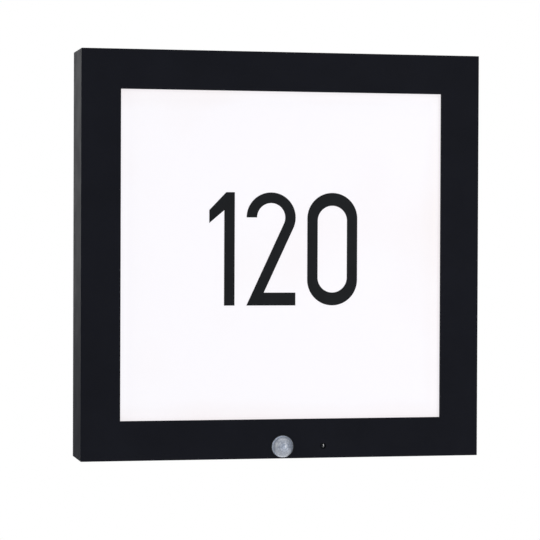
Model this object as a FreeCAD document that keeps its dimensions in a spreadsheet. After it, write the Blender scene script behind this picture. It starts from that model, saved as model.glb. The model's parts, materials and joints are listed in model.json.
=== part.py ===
import FreeCAD, Part
import math
import os

import Sketcher

# Square outdoor wall light with a lit number panel, a motion sensor and a light sensor.
# X points to the viewer's right, Y into the wall and Z up. The origin lies on the wall, at the centre of
# the wall plate's four slots. A depth is a distance from the wall towards the viewer, so Y is minus a
# depth. Lengths are in millimetres and angles in degrees.

DIMENSIONS = (
    # Casing: a square frame with side walls that reach back to the wall
    ("case_size", 284),
    ("case_depth", 42),
    ("case_rim_gap", 0.5),
    ("case_border", 27.5),
    ("case_front_wall", 2.5),
    ("case_side_wall", 3.5),
    ("case_rim_wall", 2),
    ("case_edge_radius", 0.5),
    ("window_chamfer", 0.4),
    ("ledge_depth", 11),
    # Rear housing, which closes the casing from behind
    ("housing_clearance", 0.3),
    ("housing_back", 8),
    ("housing_thick", 2),
    ("boss_inset", 134.5),
    ("boss_along", 75),
    ("boss_radius", 3.4),
    ("boss_web", 1.6),
    ("boss_hole_end", 22),
    ("pilot_radius", 1.5),
    ("screw_clearance", 1.7),
    ("rib_height", 1.8),
    ("rib_thick", 1.5),
    ("rib_ring_inner", 130),
    ("rib_inner_end", 86),
    ("rib_pitch", 52),
    ("catch_inner", 80.3),
    ("catch_thick", 1.8),
    ("catch_back", 3),
    ("catch_length", 22),
    ("seal_inset", 0.1),
    ("fit_gap", 0.1),
    # Diffuser, its gasket and the stuck-on numerals
    ("diffuser_overlap", 5),
    ("diffuser_thick", 2.5),
    ("gasket_thick", 1),
    ("gasket_width", 4.3),
    ("numeral_thick", 0.4),
    ("numeral_height", 79),
    ("numeral_stem", 7.4),
    ("numeral_bar", 9),
    ("numeral_left", -52),
    ("numeral_base", -35),
    ("numeral_gap", 8.5),
    ("one_width", 18),
    ("one_flag_drop", 12.5),
    ("one_flag_top", 6),
    ("two_width", 35),
    ("zero_width", 36),
    # Reflector tray
    ("tray_floor", 24),
    ("tray_thick", 1),
    ("tray_floor_half", 95),
    ("tray_mouth_half", 117.3),
    ("tray_flange_half", 120.5),
    ("tray_ear_start", 116),
    ("tray_ear_end", 132.5),
    ("tray_ear_hole", 128),
    ("tray_post_radius", 3.5),
    # Light-emitting boards
    ("board_pitch", 46),
    ("board_width", 12),
    ("board_half_length", 92),
    ("board_thick", 1.2),
    ("board_rivet_at", 86),
    ("chip_pitch", 36),
    ("chip_half", 1.5),
    ("chip_thick", 0.7),
    ("lens_radius", 6),
    ("lens_height", 4.6),
    ("lens_skirt", 1),
    ("lens_recess_radius", 2.6),
    ("lens_recess_depth", 1.4),
    ("rivet_radius", 1.4),
    ("rivet_barb_radius", 1.9),
    ("rivet_grip", 2.3),
    ("rivet_tail", 1.6),
    # Terminal bay in the rear housing, with its cover, seal, grommet and block
    ("bay_half_width", 35),
    ("bay_half_height", 20),
    ("bay_floor", 19),
    ("bay_wall", 2),
    ("bay_boss_x", 39),
    ("bay_boss_z", 24),
    ("bay_boss_radius", 3.5),
    ("bay_boss_hole_end", 17),
    ("cover_half_width", 44),
    ("cover_half_height", 29),
    ("cover_thick", 2),
    ("cover_corner", 4),
    ("cover_seal_thick", 0.8),
    ("cover_seal_half_width", 43),
    ("cover_seal_half_height", 28),
    ("grommet_x", 20),
    ("grommet_bore", 4),
    ("grommet_waist", 6.9),
    ("grommet_flange", 9.5),
    ("grommet_front_flange", 8.8),
    ("grommet_nose", 6.2),
    ("grommet_lip", 1.5),
    ("grommet_nose_length", 1.1),
    ("block_left", -33),
    ("block_pitch", 10),
    ("block_gap", 0.8),
    ("block_half_height", 8.5),
    ("block_deep", 9),
    ("block_web_deep", 6),
    ("sleeve_half", 2.5),
    ("sleeve_bore", 1.6),
    ("sleeve_from_floor", 1),
    ("well_radius", 1.9),
    ("well_at", 4.6),
    ("clamp_screw_radius", 1.7),
    # Driver, the mains supply of the lights
    ("driver_half_width", 50),
    ("driver_low", 37),
    ("driver_high", 71),
    ("driver_back", 10.2),
    ("driver_front", 21.7),
    ("driver_wall", 1.2),
    ("driver_ear", 8),
    ("driver_ear_thick", 1.6),
    ("driver_board_back", 12.4),
    ("coil_width", 15),
    ("coil_depth", 6.4),
    ("capacitor_radius", 3.2),
    ("capacitor_length", 15),
    # Sensors behind the bottom border
    ("sensor_above_edge", 8.4),
    ("dome_radius", 7.65),
    ("dome_height", 6.2),
    ("dome_wall", 1),
    ("collar_radius", 7),
    ("collar_length", 6),
    ("collar_hole", 7.15),
    ("collar_hole_end", 35),
    ("lens_seal_thick", 0.4),
    ("lens_seal_lip", 0.5),
    ("guide_x", 29.2),
    ("guide_hole", 2.1),
    ("guide_radius", 1.95),
    ("guide_flange", 3.1),
    ("guide_flange_thick", 2),
    ("guide_length", 5),
    ("guide_recess", 0.7),
    ("guide_tip", 0.6),
    ("sensor_board_left", -50),
    ("sensor_board_right", 41),
    ("sensor_board_low", -138.2),
    ("sensor_board_high", -122.3),
    ("sensor_board_back", 30),
    ("sensor_board_thick", 1.6),
    ("sensor_post_left", -45.5),
    ("sensor_post_right", 37.2),
    ("sensor_post_z", -128),
    ("sensor_post_radius", 2.6),
    ("sensor_pilot", 1.15),
    ("sensor_hole", 1.4),
    ("detector_flange", 4.6),
    ("detector_radius", 4.1),
    ("detector_height", 4.6),
    ("detector_base", 0.8),
    ("detector_window", 2),
    ("light_cell_radius", 1.5),
    ("light_cell_height", 2.4),
    # Setting dials, turned from below with a screwdriver
    ("time_dial_x", -22),
    ("lux_dial_x", -34),
    ("dial_depth", 35.3),
    ("dial_radius", 3),
    ("dial_hole", 3.35),
    ("dial_recess", 0.6),
    ("dial_top", -137.3),
    ("dial_shaft_radius", 1.4),
    ("dial_shaft_length", 3),
    ("dial_slot", 0.9),
    ("dial_slot_depth", 0.8),
    ("pot_half", 3.7),
    ("pot_low", -136.8),
    ("pot_high", -129.5),
    ("pot_bore", 1.5),
    # Wall plate with its clips, nuts and locking screws
    ("plate_half_width", 75),
    ("plate_half_height", 139.7),
    ("plate_thick", 1.5),
    ("plate_flange", 7.5),
    ("plate_bend", 1),
    ("plate_window_half_width", 35),
    ("plate_window_half_height", 23),
    ("plate_window_corner", 6),
    ("slot_x", 50),
    ("slot_z", 95),
    ("slot_radius", 2.6),
    ("slot_length", 14),
    ("lock_x", 50),
    ("lock_depth", 5),
    ("lock_radius", 1.5),
    ("lock_hole", 1.55),
    ("lock_notch", 1.9),
    ("lock_head_radius", 2.9),
    ("lock_head_height", 1.8),
    ("lock_length", 8),
    ("lock_head_gap", 0.3),
    ("nut_across", 4.9),
    ("nut_height", 2.4),
    ("clip_half_length", 6),
    ("clip_z", 70),
    ("clip_thick", 0.5),
    ("clip_inner", 62),
    ("clip_bend", 73),
    ("clip_knee", 75.5),
    ("clip_tip", 79.9),
    ("clip_end", 78),
    ("clip_rivet_x", 67),
    ("clip_rivet_radius", 1.2),
    ("clip_rivet_head", 2.2),
    # Screws of the housing, cover and driver, and the small ones of the tray and sensor board
    ("screw_head_radius", 2.9),
    ("screw_head_height", 2),
    ("screw_radius", 1.45),
    ("screw_length", 12),
    ("cover_screw_length", 10),
    ("driver_screw_length", 4),
    ("small_head_radius", 2.2),
    ("small_head_height", 1.4),
    ("small_radius", 1.1),
    ("tray_screw_length", 4),
    ("sensor_screw_length", 6),
    ("recess_width", 0.7),
    ("recess_share", 0.6),
    # Internal leads
    ("mains_lead_radius", 2.2),
    ("mains_lead_x", -18),
    ("mains_lead_depth", 15.4),
    ("sensor_lead_radius", 1.6),
    ("led_lead_radius", 1.3),
    ("plug_half", 3.6),
    ("plug_deep", 4.5),
    ("sensor_plug_x", -30),
    ("led_plug_z", 62),
)


class Size:
    """A length that carries the spreadsheet formula it comes from."""

    def __init__(self, value, text=None):
        self.value = float(value)
        self.text = f"({self.value})" if text is None else text

    @staticmethod
    def of(value):
        return value if isinstance(value, Size) else Size(value)

    def __add__(self, other):
        other = Size.of(other)
        return Size(self.value + other.value, f"({self.text} + {other.text})")

    def __sub__(self, other):
        other = Size.of(other)
        return Size(self.value - other.value, f"({self.text} - {other.text})")

    def __mul__(self, other):
        other = Size.of(other)
        return Size(self.value * other.value, f"({self.text} * {other.text})")

    def __truediv__(self, other):
        other = Size.of(other)
        return Size(self.value / other.value, f"({self.text} / {other.text})")

    def __neg__(self):
        return Size(-self.value, f"(-{self.text})")


ZERO = Size(0)

FRONTWARD = FreeCAD.Rotation(FreeCAD.Vector(1, 0, 0), 90)
WALLWARD = FreeCAD.Rotation(FreeCAD.Vector(1, 0, 0), -90)
DOWNWARD = FreeCAD.Rotation(FreeCAD.Vector(1, 0, 0), 180)
HALF_TURN = FreeCAD.Rotation(FreeCAD.Vector(0, 1, 0), 180)
UNTURNED = FreeCAD.Rotation()

PLANES = {"front": "XZ_Plane", "top": "XY_Plane", "side": "YZ_Plane"}


class Dimensions:
    """The driving dimensions, held as aliased cells of a spreadsheet."""

    def __init__(self, doc):
        sheet = doc.addObject("Spreadsheet::Sheet", "dims")
        for row, (alias, value) in enumerate(DIMENSIONS, start=1):
            sheet.set(f"A{row}", alias)
            sheet.set(f"B{row}", str(value))
            sheet.setAlias(f"B{row}", alias)
            setattr(self, alias, Size(value, f"dims.{alias}"))
        doc.recompute()
        self.case_half = self.case_size / 2
        self.window_half = self.case_half - self.case_border
        self.border_back = self.case_depth - self.case_front_wall
        self.inner_half = self.case_half - self.case_side_wall
        self.rim_half = self.case_half - self.case_rim_wall
        self.housing_half = self.rim_half - self.housing_clearance
        self.housing_front = self.housing_back + self.housing_thick
        self.diffuser_half = self.window_half + self.diffuser_overlap
        self.diffuser_front = self.border_back - self.gasket_thick
        self.diffuser_back = self.diffuser_front - self.diffuser_thick
        self.cover_front = self.housing_back - self.cover_seal_thick
        self.cover_back = self.cover_front - self.cover_thick
        self.sensor_z = self.sensor_above_edge - self.case_half
        self.sensor_board_front = self.sensor_board_back + self.sensor_board_thick
        self.board_front = self.tray_floor + self.board_thick
        self.driver_middle = (self.driver_low + self.driver_high) / 2


def bind(item, name, size):
    """Ties a property to the spreadsheet."""
    item.setExpression(name, size.text)


def place(item, x, y, z, rotation):
    """Puts an object at x, y, z, each tied to the spreadsheet, turned by rotation."""
    sizes = (Size.of(x), Size.of(y), Size.of(z))
    base = FreeCAD.Vector(*(size.value for size in sizes))
    item.Placement = FreeCAD.Placement(base, rotation)
    for axis, size in zip("xyz", sizes):
        bind(item, f"Placement.Base.{axis}", size)


def new_body(doc, label):
    body = doc.addObject("PartDesign::Body", label)
    body.Label = label
    return body


def new_sketch(body, plane, offset):
    """A sketch on one of the body's origin planes, moved along its normal by offset."""
    sketch = body.newObject("Sketcher::SketchObject", f"{body.Name}_sketch")
    origin = next(f for f in body.Origin.OriginFeatures if f.Role == PLANES[plane])
    sketch.AttachmentSupport = (origin, [""])
    sketch.MapMode = "FlatFace"
    bind(sketch, "AttachmentOffset.Base.z", Size.of(offset))
    return sketch


def fix(sketch, kind, geometry, point, size):
    """Fixes one coordinate of a sketch point, measured from the sketch's origin."""
    index = sketch.addConstraint(Sketcher.Constraint(kind, -1, 1, geometry, point, size.value))
    bind(sketch, f"Constraints[{index}]", size)


def pin(sketch, geometry, point, x, y):
    fix(sketch, "DistanceX", geometry, point, x)
    fix(sketch, "DistanceY", geometry, point, y)


def add_arc(sketch, start, end, centre, turn):
    """Adds an arc from start to end, anticlockwise if turn is 1 and clockwise if it is -1."""
    first, last = (start, end) if turn > 0 else (end, start)
    begin = math.atan2(first.y - centre.y, first.x - centre.x)
    finish = math.atan2(last.y - centre.y, last.x - centre.x)
    if finish <= begin:
        finish += 2 * math.pi
    circle = Part.Circle(centre, FreeCAD.Vector(0, 0, 1), (start - centre).Length)
    return sketch.addGeometry(Part.ArcOfCircle(circle, begin, finish))


def draw_outline(sketch, corners, arcs):
    """Draws a closed outline. arcs maps an edge's number to its arc's centre x, centre y and turn."""
    corners = [(Size.of(x), Size.of(y)) for x, y in corners]
    points = [FreeCAD.Vector(x.value, y.value, 0) for x, y in corners]
    count = len(corners)
    edges = []
    for number, start in enumerate(points):
        end = points[(number + 1) % count]
        if number not in arcs:
            edges.append((sketch.addGeometry(Part.LineSegment(start, end)), 1, 2))
            continue
        centre_x, centre_y, turn = arcs[number]
        centre = FreeCAD.Vector(Size.of(centre_x).value, Size.of(centre_y).value, 0)
        edge = add_arc(sketch, start, end, centre, turn)
        edges.append((edge, 1, 2) if turn > 0 else (edge, 2, 1))
        if abs(end.x - start.x) < abs(end.y - start.y):
            fix(sketch, "DistanceX", edge, 3, Size.of(centre_x))
        else:
            fix(sketch, "DistanceY", edge, 3, Size.of(centre_y))
    for number, (edge, first, last) in enumerate(edges):
        following, following_first, _ = edges[(number + 1) % count]
        sketch.addConstraint(Sketcher.Constraint("Coincident", edge, last, following, following_first))
        pin(sketch, edge, first, *corners[number])


def outline(corners, arcs=None):
    return lambda sketch: draw_outline(sketch, corners, arcs or {})


def rectangle(left, low, right, high):
    return outline([(left, low), (right, low), (right, high), (left, high)])


def square(half):
    return rectangle(-half, -half, half, half)


def circle(x, y, radius):
    def draw(sketch):
        centre = FreeCAD.Vector(Size.of(x).value, Size.of(y).value, 0)
        edge = sketch.addGeometry(Part.Circle(centre, FreeCAD.Vector(0, 0, 1), radius.value))
        pin(sketch, edge, 3, Size.of(x), Size.of(y))
        index = sketch.addConstraint(Sketcher.Constraint("Radius", edge, radius.value))
        bind(sketch, f"Constraints[{index}]", radius)

    return draw


def slot(x, y, half_straight, radius):
    """A round-ended slot that runs along the sketch's first axis."""
    left, right = x - half_straight, x + half_straight
    corners = [(left, y - radius), (right, y - radius), (right, y + radius), (left, y + radius)]
    return outline(corners, {1: (right, y, 1), 3: (left, y, 1)})


def rounded_rectangle(half_width, half_height, corner):
    """A rectangle about the sketch's origin with round corners."""
    inner_x, inner_y = half_width - corner, half_height - corner
    corners = [
        (-inner_x, -half_height), (inner_x, -half_height),
        (half_width, -inner_y), (half_width, inner_y),
        (inner_x, half_height), (-inner_x, half_height),
        (-half_width, inner_y), (-half_width, -inner_y),
    ]
    arcs = {
        1: (inner_x, -inner_y, 1), 3: (inner_x, inner_y, 1),
        5: (-inner_x, inner_y, 1), 7: (-inner_x, -inner_y, 1),
    }
    return outline(corners, arcs)


def draw_all(body, plane, offset, shapes):
    sketch = new_sketch(body, plane, offset)
    for shape in shapes:
        shape(sketch)
    return sketch


def pad(body, plane, low, high, *shapes):
    """Fills the shapes from low to high along the plane's normal."""
    low, high = Size.of(low), Size.of(high)
    feature = body.newObject("PartDesign::Pad", f"{body.Name}_pad")
    feature.Profile = draw_all(body, plane, low, shapes)
    bind(feature, "Length", high - low)
    body.Document.recompute()
    return feature


def cut(body, plane, low, high, *shapes):
    """Removes the shapes between low and high, and makes sure that something was removed."""
    low, high = Size.of(low), Size.of(high)
    before = body.Shape.Volume
    feature = body.newObject("PartDesign::Pocket", f"{body.Name}_cut")
    feature.Profile = draw_all(body, plane, high, shapes)
    bind(feature, "Length", high - low)
    body.Document.recompute()
    if body.Shape.Volume > before - 1e-6:
        raise RuntimeError(f"{feature.Name} cuts nothing")
    return feature


def revolve(body, corners, arcs=None):
    """Turns a profile of radius and height about the body's own Z axis."""
    feature = body.newObject("PartDesign::Revolution", f"{body.Name}_turned")
    profile = draw_all(body, "front", ZERO, [outline(corners, arcs)])
    feature.Profile = profile
    feature.ReferenceAxis = (profile, ["V_Axis"])
    feature.Angle = 360
    body.Document.recompute()
    return feature


def loft(body, kind, sections):
    """A straight-sided loft through squares, each given as a depth and a half width."""
    feature = body.newObject(f"PartDesign::{kind}", f"{body.Name}_loft")
    sketches = [draw_all(body, "front", depth, [square(half)]) for depth, half in sections]
    feature.Profile = sketches[0]
    feature.Sections = sketches[1:]
    feature.Ruled = True
    body.Document.recompute()
    return feature


def dress(body, kind, size_name, size, wanted):
    """Rounds or chamfers the edges of the body that wanted picks."""
    base = body.Tip
    names = [f"Edge{n}" for n, edge in enumerate(base.Shape.Edges, start=1) if wanted(edge)]
    feature = body.newObject(f"PartDesign::{kind}", f"{body.Name}_edges")
    feature.Base = (base, names)
    bind(feature, size_name, size)
    body.Document.recompute()
    return feature


def group(doc, label, master, places):
    """One node of separate solids: the master at each place, given as x, y, z and a rotation."""
    links = []
    for number, spot in enumerate(places, start=1):
        link = doc.addObject("App::Link", f"{label}_{number}")
        link.LinkedObject = master
        place(link, *spot)
        links.append(link)
    compound = doc.addObject("Part::Compound", label)
    compound.Label = label
    compound.Links = links
    return compound


def both_signs(size):
    return (size, -size)


def corners_of(x, z):
    """The four points at plus and minus x and z."""
    return [(sx, sz) for sx in both_signs(x) for sz in both_signs(z)]


def boss_places(d):
    """Where the eight screws of the rear housing stand, as x and z."""
    return corners_of(d.boss_along, d.boss_inset) + corners_of(d.boss_inset, d.boss_along)


def screw_master(doc, d, name, head_radius, head_height, radius, length):
    """A cross-recessed screw: the underside of its head at Z 0, the shank below and the head above."""
    body = new_body(doc, name)
    shoulder = head_height / 2
    tip = radius / 2
    revolve(body, [
        (ZERO, -length), (tip, -length), (radius, tip - length), (radius, ZERO),
        (head_radius, ZERO), (head_radius, shoulder), (head_radius - shoulder, head_height),
        (ZERO, head_height),
    ])
    arm, half = head_radius * d.recess_share, d.recess_width / 2
    floor = head_height * (Size(1) - d.recess_share)
    cut(body, "top", floor, head_height, rectangle(-arm, -half, arm, half))
    cut(body, "top", floor, head_height, rectangle(-half, -arm, half, arm))
    return body


def tangent_path(points):
    """Straight runs joined by arcs, each as large as its two runs allow. Returns the wire and radii."""
    edges, radii = [], []
    here = points[0]
    for before, corner, after in zip(points, points[1:], points[2:]):
        inward, outward = (corner - before).normalize(), (after - corner).normalize()
        half_turn = math.acos(max(-1.0, min(1.0, inward.dot(outward)))) / 2
        reach = 0.45 * min((corner - before).Length, (after - corner).Length)
        radii.append(reach / math.tan(half_turn))
        start, end = corner - inward * reach, corner + outward * reach
        bisector = (outward - inward).normalize()
        middle = corner + bisector * (radii[-1] / math.cos(half_turn) - radii[-1])
        edges.append(Part.LineSegment(here, start).toShape())
        edges.append(Part.Arc(start, middle, end).toShape())
        here = end
    edges.append(Part.LineSegment(here, points[-1]).toShape())
    return Part.Wire(edges), radii


def lead(doc, label, route, radius):
    """A round lead along a route of points, each given as x, depth and z."""
    points = [FreeCAD.Vector(Size.of(x).value, -Size.of(depth).value, Size.of(z).value)
              for x, depth, z in route]
    path, radii = tangent_path(points)
    start = points[1] - points[0]
    profile = Part.Wire(Part.Circle(points[0], start, radius.value).toShape())
    solid = path.makePipeShell([profile], True, False)
    expected = math.pi * radius.value ** 2 * path.Length
    if abs(solid.Volume / expected - 1) > 0.02:
        raise RuntimeError(f"{label} has the wrong volume")
    print(f"{label}: length {path.Length:.1f}, bend radii {[round(r, 1) for r in radii]}")
    item = doc.addObject("Part::Feature", label)
    item.Label = label
    item.Shape = solid
    return item


# Casing, diffuser and numerals


def front_casing(doc, d):
    body = new_body(doc, "front_casing")
    half, depth = d.case_half, d.case_depth
    pad(body, "front", d.case_rim_gap, depth, square(half))
    flat = depth.value - 0.01
    dress(body, "Fillet", "Radius", d.case_edge_radius, lambda edge: edge.BoundBox.YMin < -flat)
    cut(body, "front", d.case_rim_gap, d.ledge_depth, square(d.rim_half))
    cut(body, "front", d.ledge_depth, d.border_back, square(d.inner_half))
    cut(body, "front", d.border_back, depth, square(d.window_half))
    window = d.window_half.value + 0.01
    dress(body, "Chamfer", "Size", d.window_chamfer, lambda edge: (
        edge.BoundBox.YMax < -flat and max(edge.BoundBox.XMax, edge.BoundBox.ZMax) < window))
    housing_bosses(body, d)
    tray_posts(body, d)
    sensor_posts(body, d)
    sensor_holes(body, d)
    lock_notches(body, d)
    return body


def housing_bosses(body, d):
    """Eight bosses for the housing screws, each tied to its wall by a web."""
    reach = d.inner_half + d.case_rim_wall / 4
    web = d.boss_web / 2
    pad(body, "front", d.housing_front, d.border_back,
        *(circle(x, z, d.boss_radius) for x, z in boss_places(d)))
    for sign in (1, -1):
        walls = both_signs(d.boss_along)
        near, far = sorted((d.boss_inset * sign, reach * sign), key=lambda size: size.value)
        pad(body, "front", d.ledge_depth, d.border_back,
            *(rectangle(x - web, near, x + web, far) for x in walls),
            *(rectangle(near, z - web, far, z + web) for z in walls))
    cut(body, "front", d.housing_front, d.boss_hole_end,
        *(circle(x, z, d.pilot_radius) for x, z in boss_places(d)))


def tray_posts(body, d):
    places = corners_of(d.tray_ear_hole, d.tray_ear_hole)
    pad(body, "front", d.diffuser_back, d.border_back,
        *(circle(x, z, d.tray_post_radius) for x, z in places))
    cut(body, "front", d.diffuser_back, d.border_back - d.small_radius / 4,
        *(circle(x, z, d.sensor_pilot) for x, z in places))


def sensor_posts(body, d):
    places = [(x, d.sensor_post_z) for x in (d.sensor_post_left, d.sensor_post_right)]
    pad(body, "front", d.sensor_board_front, d.border_back,
        *(circle(x, z, d.sensor_post_radius) for x, z in places))
    cut(body, "front", d.sensor_board_front, d.border_back - d.small_radius,
        *(circle(x, z, d.sensor_pilot) for x, z in places))


def sensor_holes(body, d):
    """Holes for the dome's collar and the light guide in front, and for the two dials below."""
    cut(body, "front", d.collar_hole_end, d.case_depth, circle(ZERO, d.sensor_z, d.collar_hole))
    cut(body, "front", d.border_back, d.case_depth, circle(d.guide_x, d.sensor_z, d.guide_hole))
    cut(body, "top", -d.case_half, -d.inner_half,
        *(circle(x, -d.dial_depth, d.dial_hole) for x in (d.time_dial_x, d.lux_dial_x)))


def lock_notches(body, d):
    """Notches in the bottom rim, open to the wall, so that the casing lifts off loosened screws."""
    for x in both_signs(d.lock_x):
        left, right, end = x - d.lock_notch, x + d.lock_notch, -d.lock_depth
        corners = [(left, ZERO), (left, end), (right, end), (right, ZERO)]
        cut(body, "top", -d.case_half, -d.rim_half, outline(corners, {1: (x, end, 1)}))


def diffuser(doc, d):
    body = new_body(doc, "diffuser")
    pad(body, "front", d.diffuser_back, d.diffuser_front, square(d.diffuser_half))
    return body


def diffuser_gasket(doc, d):
    body = new_body(doc, "diffuser_gasket")
    pad(body, "front", d.diffuser_front, d.border_back,
        square(d.diffuser_half), square(d.diffuser_half - d.gasket_width))
    return body


def numeral(doc, d, label, left, corners, arcs=None, extra=()):
    """A stuck-on numeral: an outline measured from its lower left corner, with its counters in extra."""
    body = new_body(doc, label)
    pad(body, "front", ZERO, d.numeral_thick, outline(corners, arcs), *extra)
    place(body, left, -d.diffuser_front, d.numeral_base, UNTURNED)
    return body


def numeral_one(doc, d):
    width, high = d.one_width, d.numeral_height
    stem = width - d.numeral_stem
    drop = d.one_flag_drop
    corners = [
        (stem, ZERO), (width, ZERO), (width, high), (width - d.one_flag_top, high),
        (ZERO, high - drop), (ZERO, high - drop - d.numeral_bar), (stem, high - drop),
    ]
    return numeral(doc, d, "numeral_one", d.numeral_left, corners)


def numeral_two(doc, d):
    """A round bowl that runs into a straight diagonal and a foot."""
    outer = d.two_width / 2
    inner = outer - d.numeral_stem
    centre_z = d.numeral_height - outer
    lean = math.radians(25)
    across, down = math.cos(lean), math.sin(lean)
    outer_x, outer_z = outer + outer * across, centre_z - outer * down
    inner_x, inner_z = outer + inner * across, centre_z - inner * down
    heel = outer_x - (outer_z - d.numeral_bar) * math.tan(lean)
    corners = [
        (ZERO, ZERO), (d.two_width, ZERO), (d.two_width, d.numeral_bar), (heel, d.numeral_bar),
        (outer_x, outer_z), (ZERO, centre_z), (d.numeral_stem, centre_z), (inner_x, inner_z),
    ]
    arcs = {4: (outer, centre_z, 1), 6: (outer, centre_z, -1)}
    left = d.numeral_left + d.one_width + d.numeral_gap
    return numeral(doc, d, "numeral_two", left, corners, arcs)


def oval(width, low, high, inset):
    """A straight-sided oval inside a glyph of the given width, drawn in by inset at the sides."""
    radius = width / 2 - inset
    left, right, middle = inset, width - inset, width / 2
    corners = [(left, low + radius), (right, low + radius), (right, high - radius), (left, high - radius)]
    return corners, {0: (middle, low + radius, 1), 2: (middle, high - radius, 1)}


def numeral_zero(doc, d):
    corners, arcs = oval(d.zero_width, ZERO, d.numeral_height, ZERO)
    counter = oval(d.zero_width, d.numeral_bar, d.numeral_height - d.numeral_bar, d.numeral_stem)
    left = d.numeral_left + d.one_width + d.two_width + d.numeral_gap * 2
    return numeral(doc, d, "numeral_zero", left, corners, arcs, [outline(*counter)])


# Reflector tray and light-emitting boards


def reflector_tray(doc, d):
    body = new_body(doc, "reflector_tray")
    floor_back = d.tray_floor - d.tray_thick
    mouth = d.diffuser_back
    loft(body, "AdditiveLoft", [
        (floor_back, d.tray_floor_half + d.tray_thick), (mouth, d.tray_mouth_half + d.tray_thick)])
    pad(body, "front", mouth - d.tray_thick, mouth, square(d.tray_flange_half))
    start, end = d.tray_ear_start, d.tray_ear_end
    spans = [(start, end), (-end, -start)]
    pad(body, "front", mouth - d.tray_thick, mouth,
        *(rectangle(x0, z0, x1, z1) for x0, x1 in spans for z0, z1 in spans))
    before = body.Shape.Volume
    loft(body, "SubtractiveLoft", [(d.tray_floor, d.tray_floor_half), (mouth, d.tray_mouth_half)])
    if body.Shape.Volume > before / 2:
        raise RuntimeError("the reflector tray isn't hollow")
    holes = corners_of(d.tray_ear_hole, d.tray_ear_hole)
    cut(body, "front", mouth - d.tray_thick, mouth, *(circle(x, z, d.sensor_hole) for x, z in holes))
    cut(body, "front", floor_back, d.tray_floor,
        *(circle(x, z, d.screw_clearance) for x in board_columns(d) for z in both_signs(d.board_rivet_at)))
    plug = d.plug_half + d.fit_gap
    x, z = board_columns(d)[-1], d.led_plug_z
    cut(body, "front", floor_back, d.tray_floor, rectangle(x - plug, z - plug, x + plug, z + plug))
    return body


def board_columns(d):
    """X of each light-emitting board, from left to right."""
    return [d.board_pitch * step for step in (-1.5, -0.5, 0.5, 1.5)]


def led_boards(doc, d):
    boards = []
    half = d.board_width / 2
    for number, x in enumerate(board_columns(d), start=1):
        body = new_body(doc, f"led_board_{number}")
        pad(body, "front", ZERO, d.board_thick,
            rectangle(-half, -d.board_half_length, half, d.board_half_length))
        cut(body, "front", ZERO, d.board_thick,
            *(circle(ZERO, z, d.screw_clearance) for z in both_signs(d.board_rivet_at)))
        place(body, x, -d.tray_floor, ZERO, UNTURNED)
        boards.append(body)
    return boards


def chip_places(d):
    """X and Z of every light-emitting chip: five on each board."""
    return [(x, d.chip_pitch * step) for x in board_columns(d) for step in (-2, -1, 0, 1, 2)]


def led_chips(doc, d):
    master = new_body(doc, "led_chip")
    pad(master, "top", ZERO, d.chip_thick, square(d.chip_half))
    places = [(x, -d.board_front, z, FRONTWARD) for x, z in chip_places(d)]
    return group(doc, "led_chips", master, places)


def led_lenses(doc, d):
    """Domed lenses that spread the light, each with a recess over its chip."""
    master = new_body(doc, "led_lens")
    dome = d.lens_height - d.lens_skirt
    radius = d.lens_radius
    sphere = (radius * radius + dome * dome) / (dome * 2)
    revolve(master, [
        (d.lens_recess_radius, ZERO), (radius, ZERO), (radius, d.lens_skirt), (ZERO, d.lens_height),
        (ZERO, d.lens_recess_depth), (d.lens_recess_radius, d.lens_recess_depth),
    ], {2: (ZERO, d.lens_height - sphere, 1)})
    places = [(x, -d.board_front, z, FRONTWARD) for x, z in chip_places(d)]
    return group(doc, "led_lenses", master, places)


def board_rivets(doc, d):
    """Push rivets that hold the boards on the tray."""
    master = new_body(doc, "board_rivet")
    grip, tail = d.rivet_grip, d.rivet_tail
    revolve(master, [
        (ZERO, -grip - tail), (d.rivet_radius / 2, -grip - tail), (d.rivet_barb_radius, -grip),
        (d.rivet_radius, -grip), (d.rivet_radius, ZERO), (d.small_head_radius, ZERO),
        (d.small_head_radius, d.rivet_radius / 2), (ZERO, d.rivet_radius),
    ])
    places = [(x, -d.board_front, z, FRONTWARD)
              for x in board_columns(d) for z in both_signs(d.board_rivet_at)]
    return group(doc, "board_rivets", master, places)


# Rear housing and terminal bay


def rear_housing(doc, d):
    body = new_body(doc, "rear_housing")
    back, front = d.housing_back, d.housing_front
    pad(body, "front", back, front, square(d.housing_half))
    bosses = corners_of(d.bay_boss_x, d.bay_boss_z)
    pad(body, "front", front, d.bay_floor, *(circle(x, z, d.bay_boss_radius) for x, z in bosses))
    width, height = d.bay_half_width + d.bay_wall, d.bay_half_height + d.bay_wall
    pad(body, "front", front, d.bay_floor + d.bay_wall, rectangle(-width, -height, width, height))
    cut(body, "front", back, d.bay_floor,
        rectangle(-d.bay_half_width, -d.bay_half_height, d.bay_half_width, d.bay_half_height))
    cut(body, "front", back, d.bay_boss_hole_end, *(circle(x, z, d.pilot_radius) for x, z in bosses))
    cut(body, "front", back, front, *(circle(x, z, d.screw_clearance) for x, z in boss_places(d)))
    housing_ribs(body, d)
    clip_catches(body, d)
    driver_boss_end = d.driver_front - d.driver_ear_thick * 4
    cut(body, "front", front + 1, driver_boss_end,
        *(circle(x, d.driver_middle, d.pilot_radius) for x in driver_screw_columns(d)))
    cut(body, "top", d.bay_half_height, d.bay_half_height + d.bay_wall,
        circle(d.mains_lead_x, -d.mains_lead_depth, d.mains_lead_radius + d.fit_gap))
    return body


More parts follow.
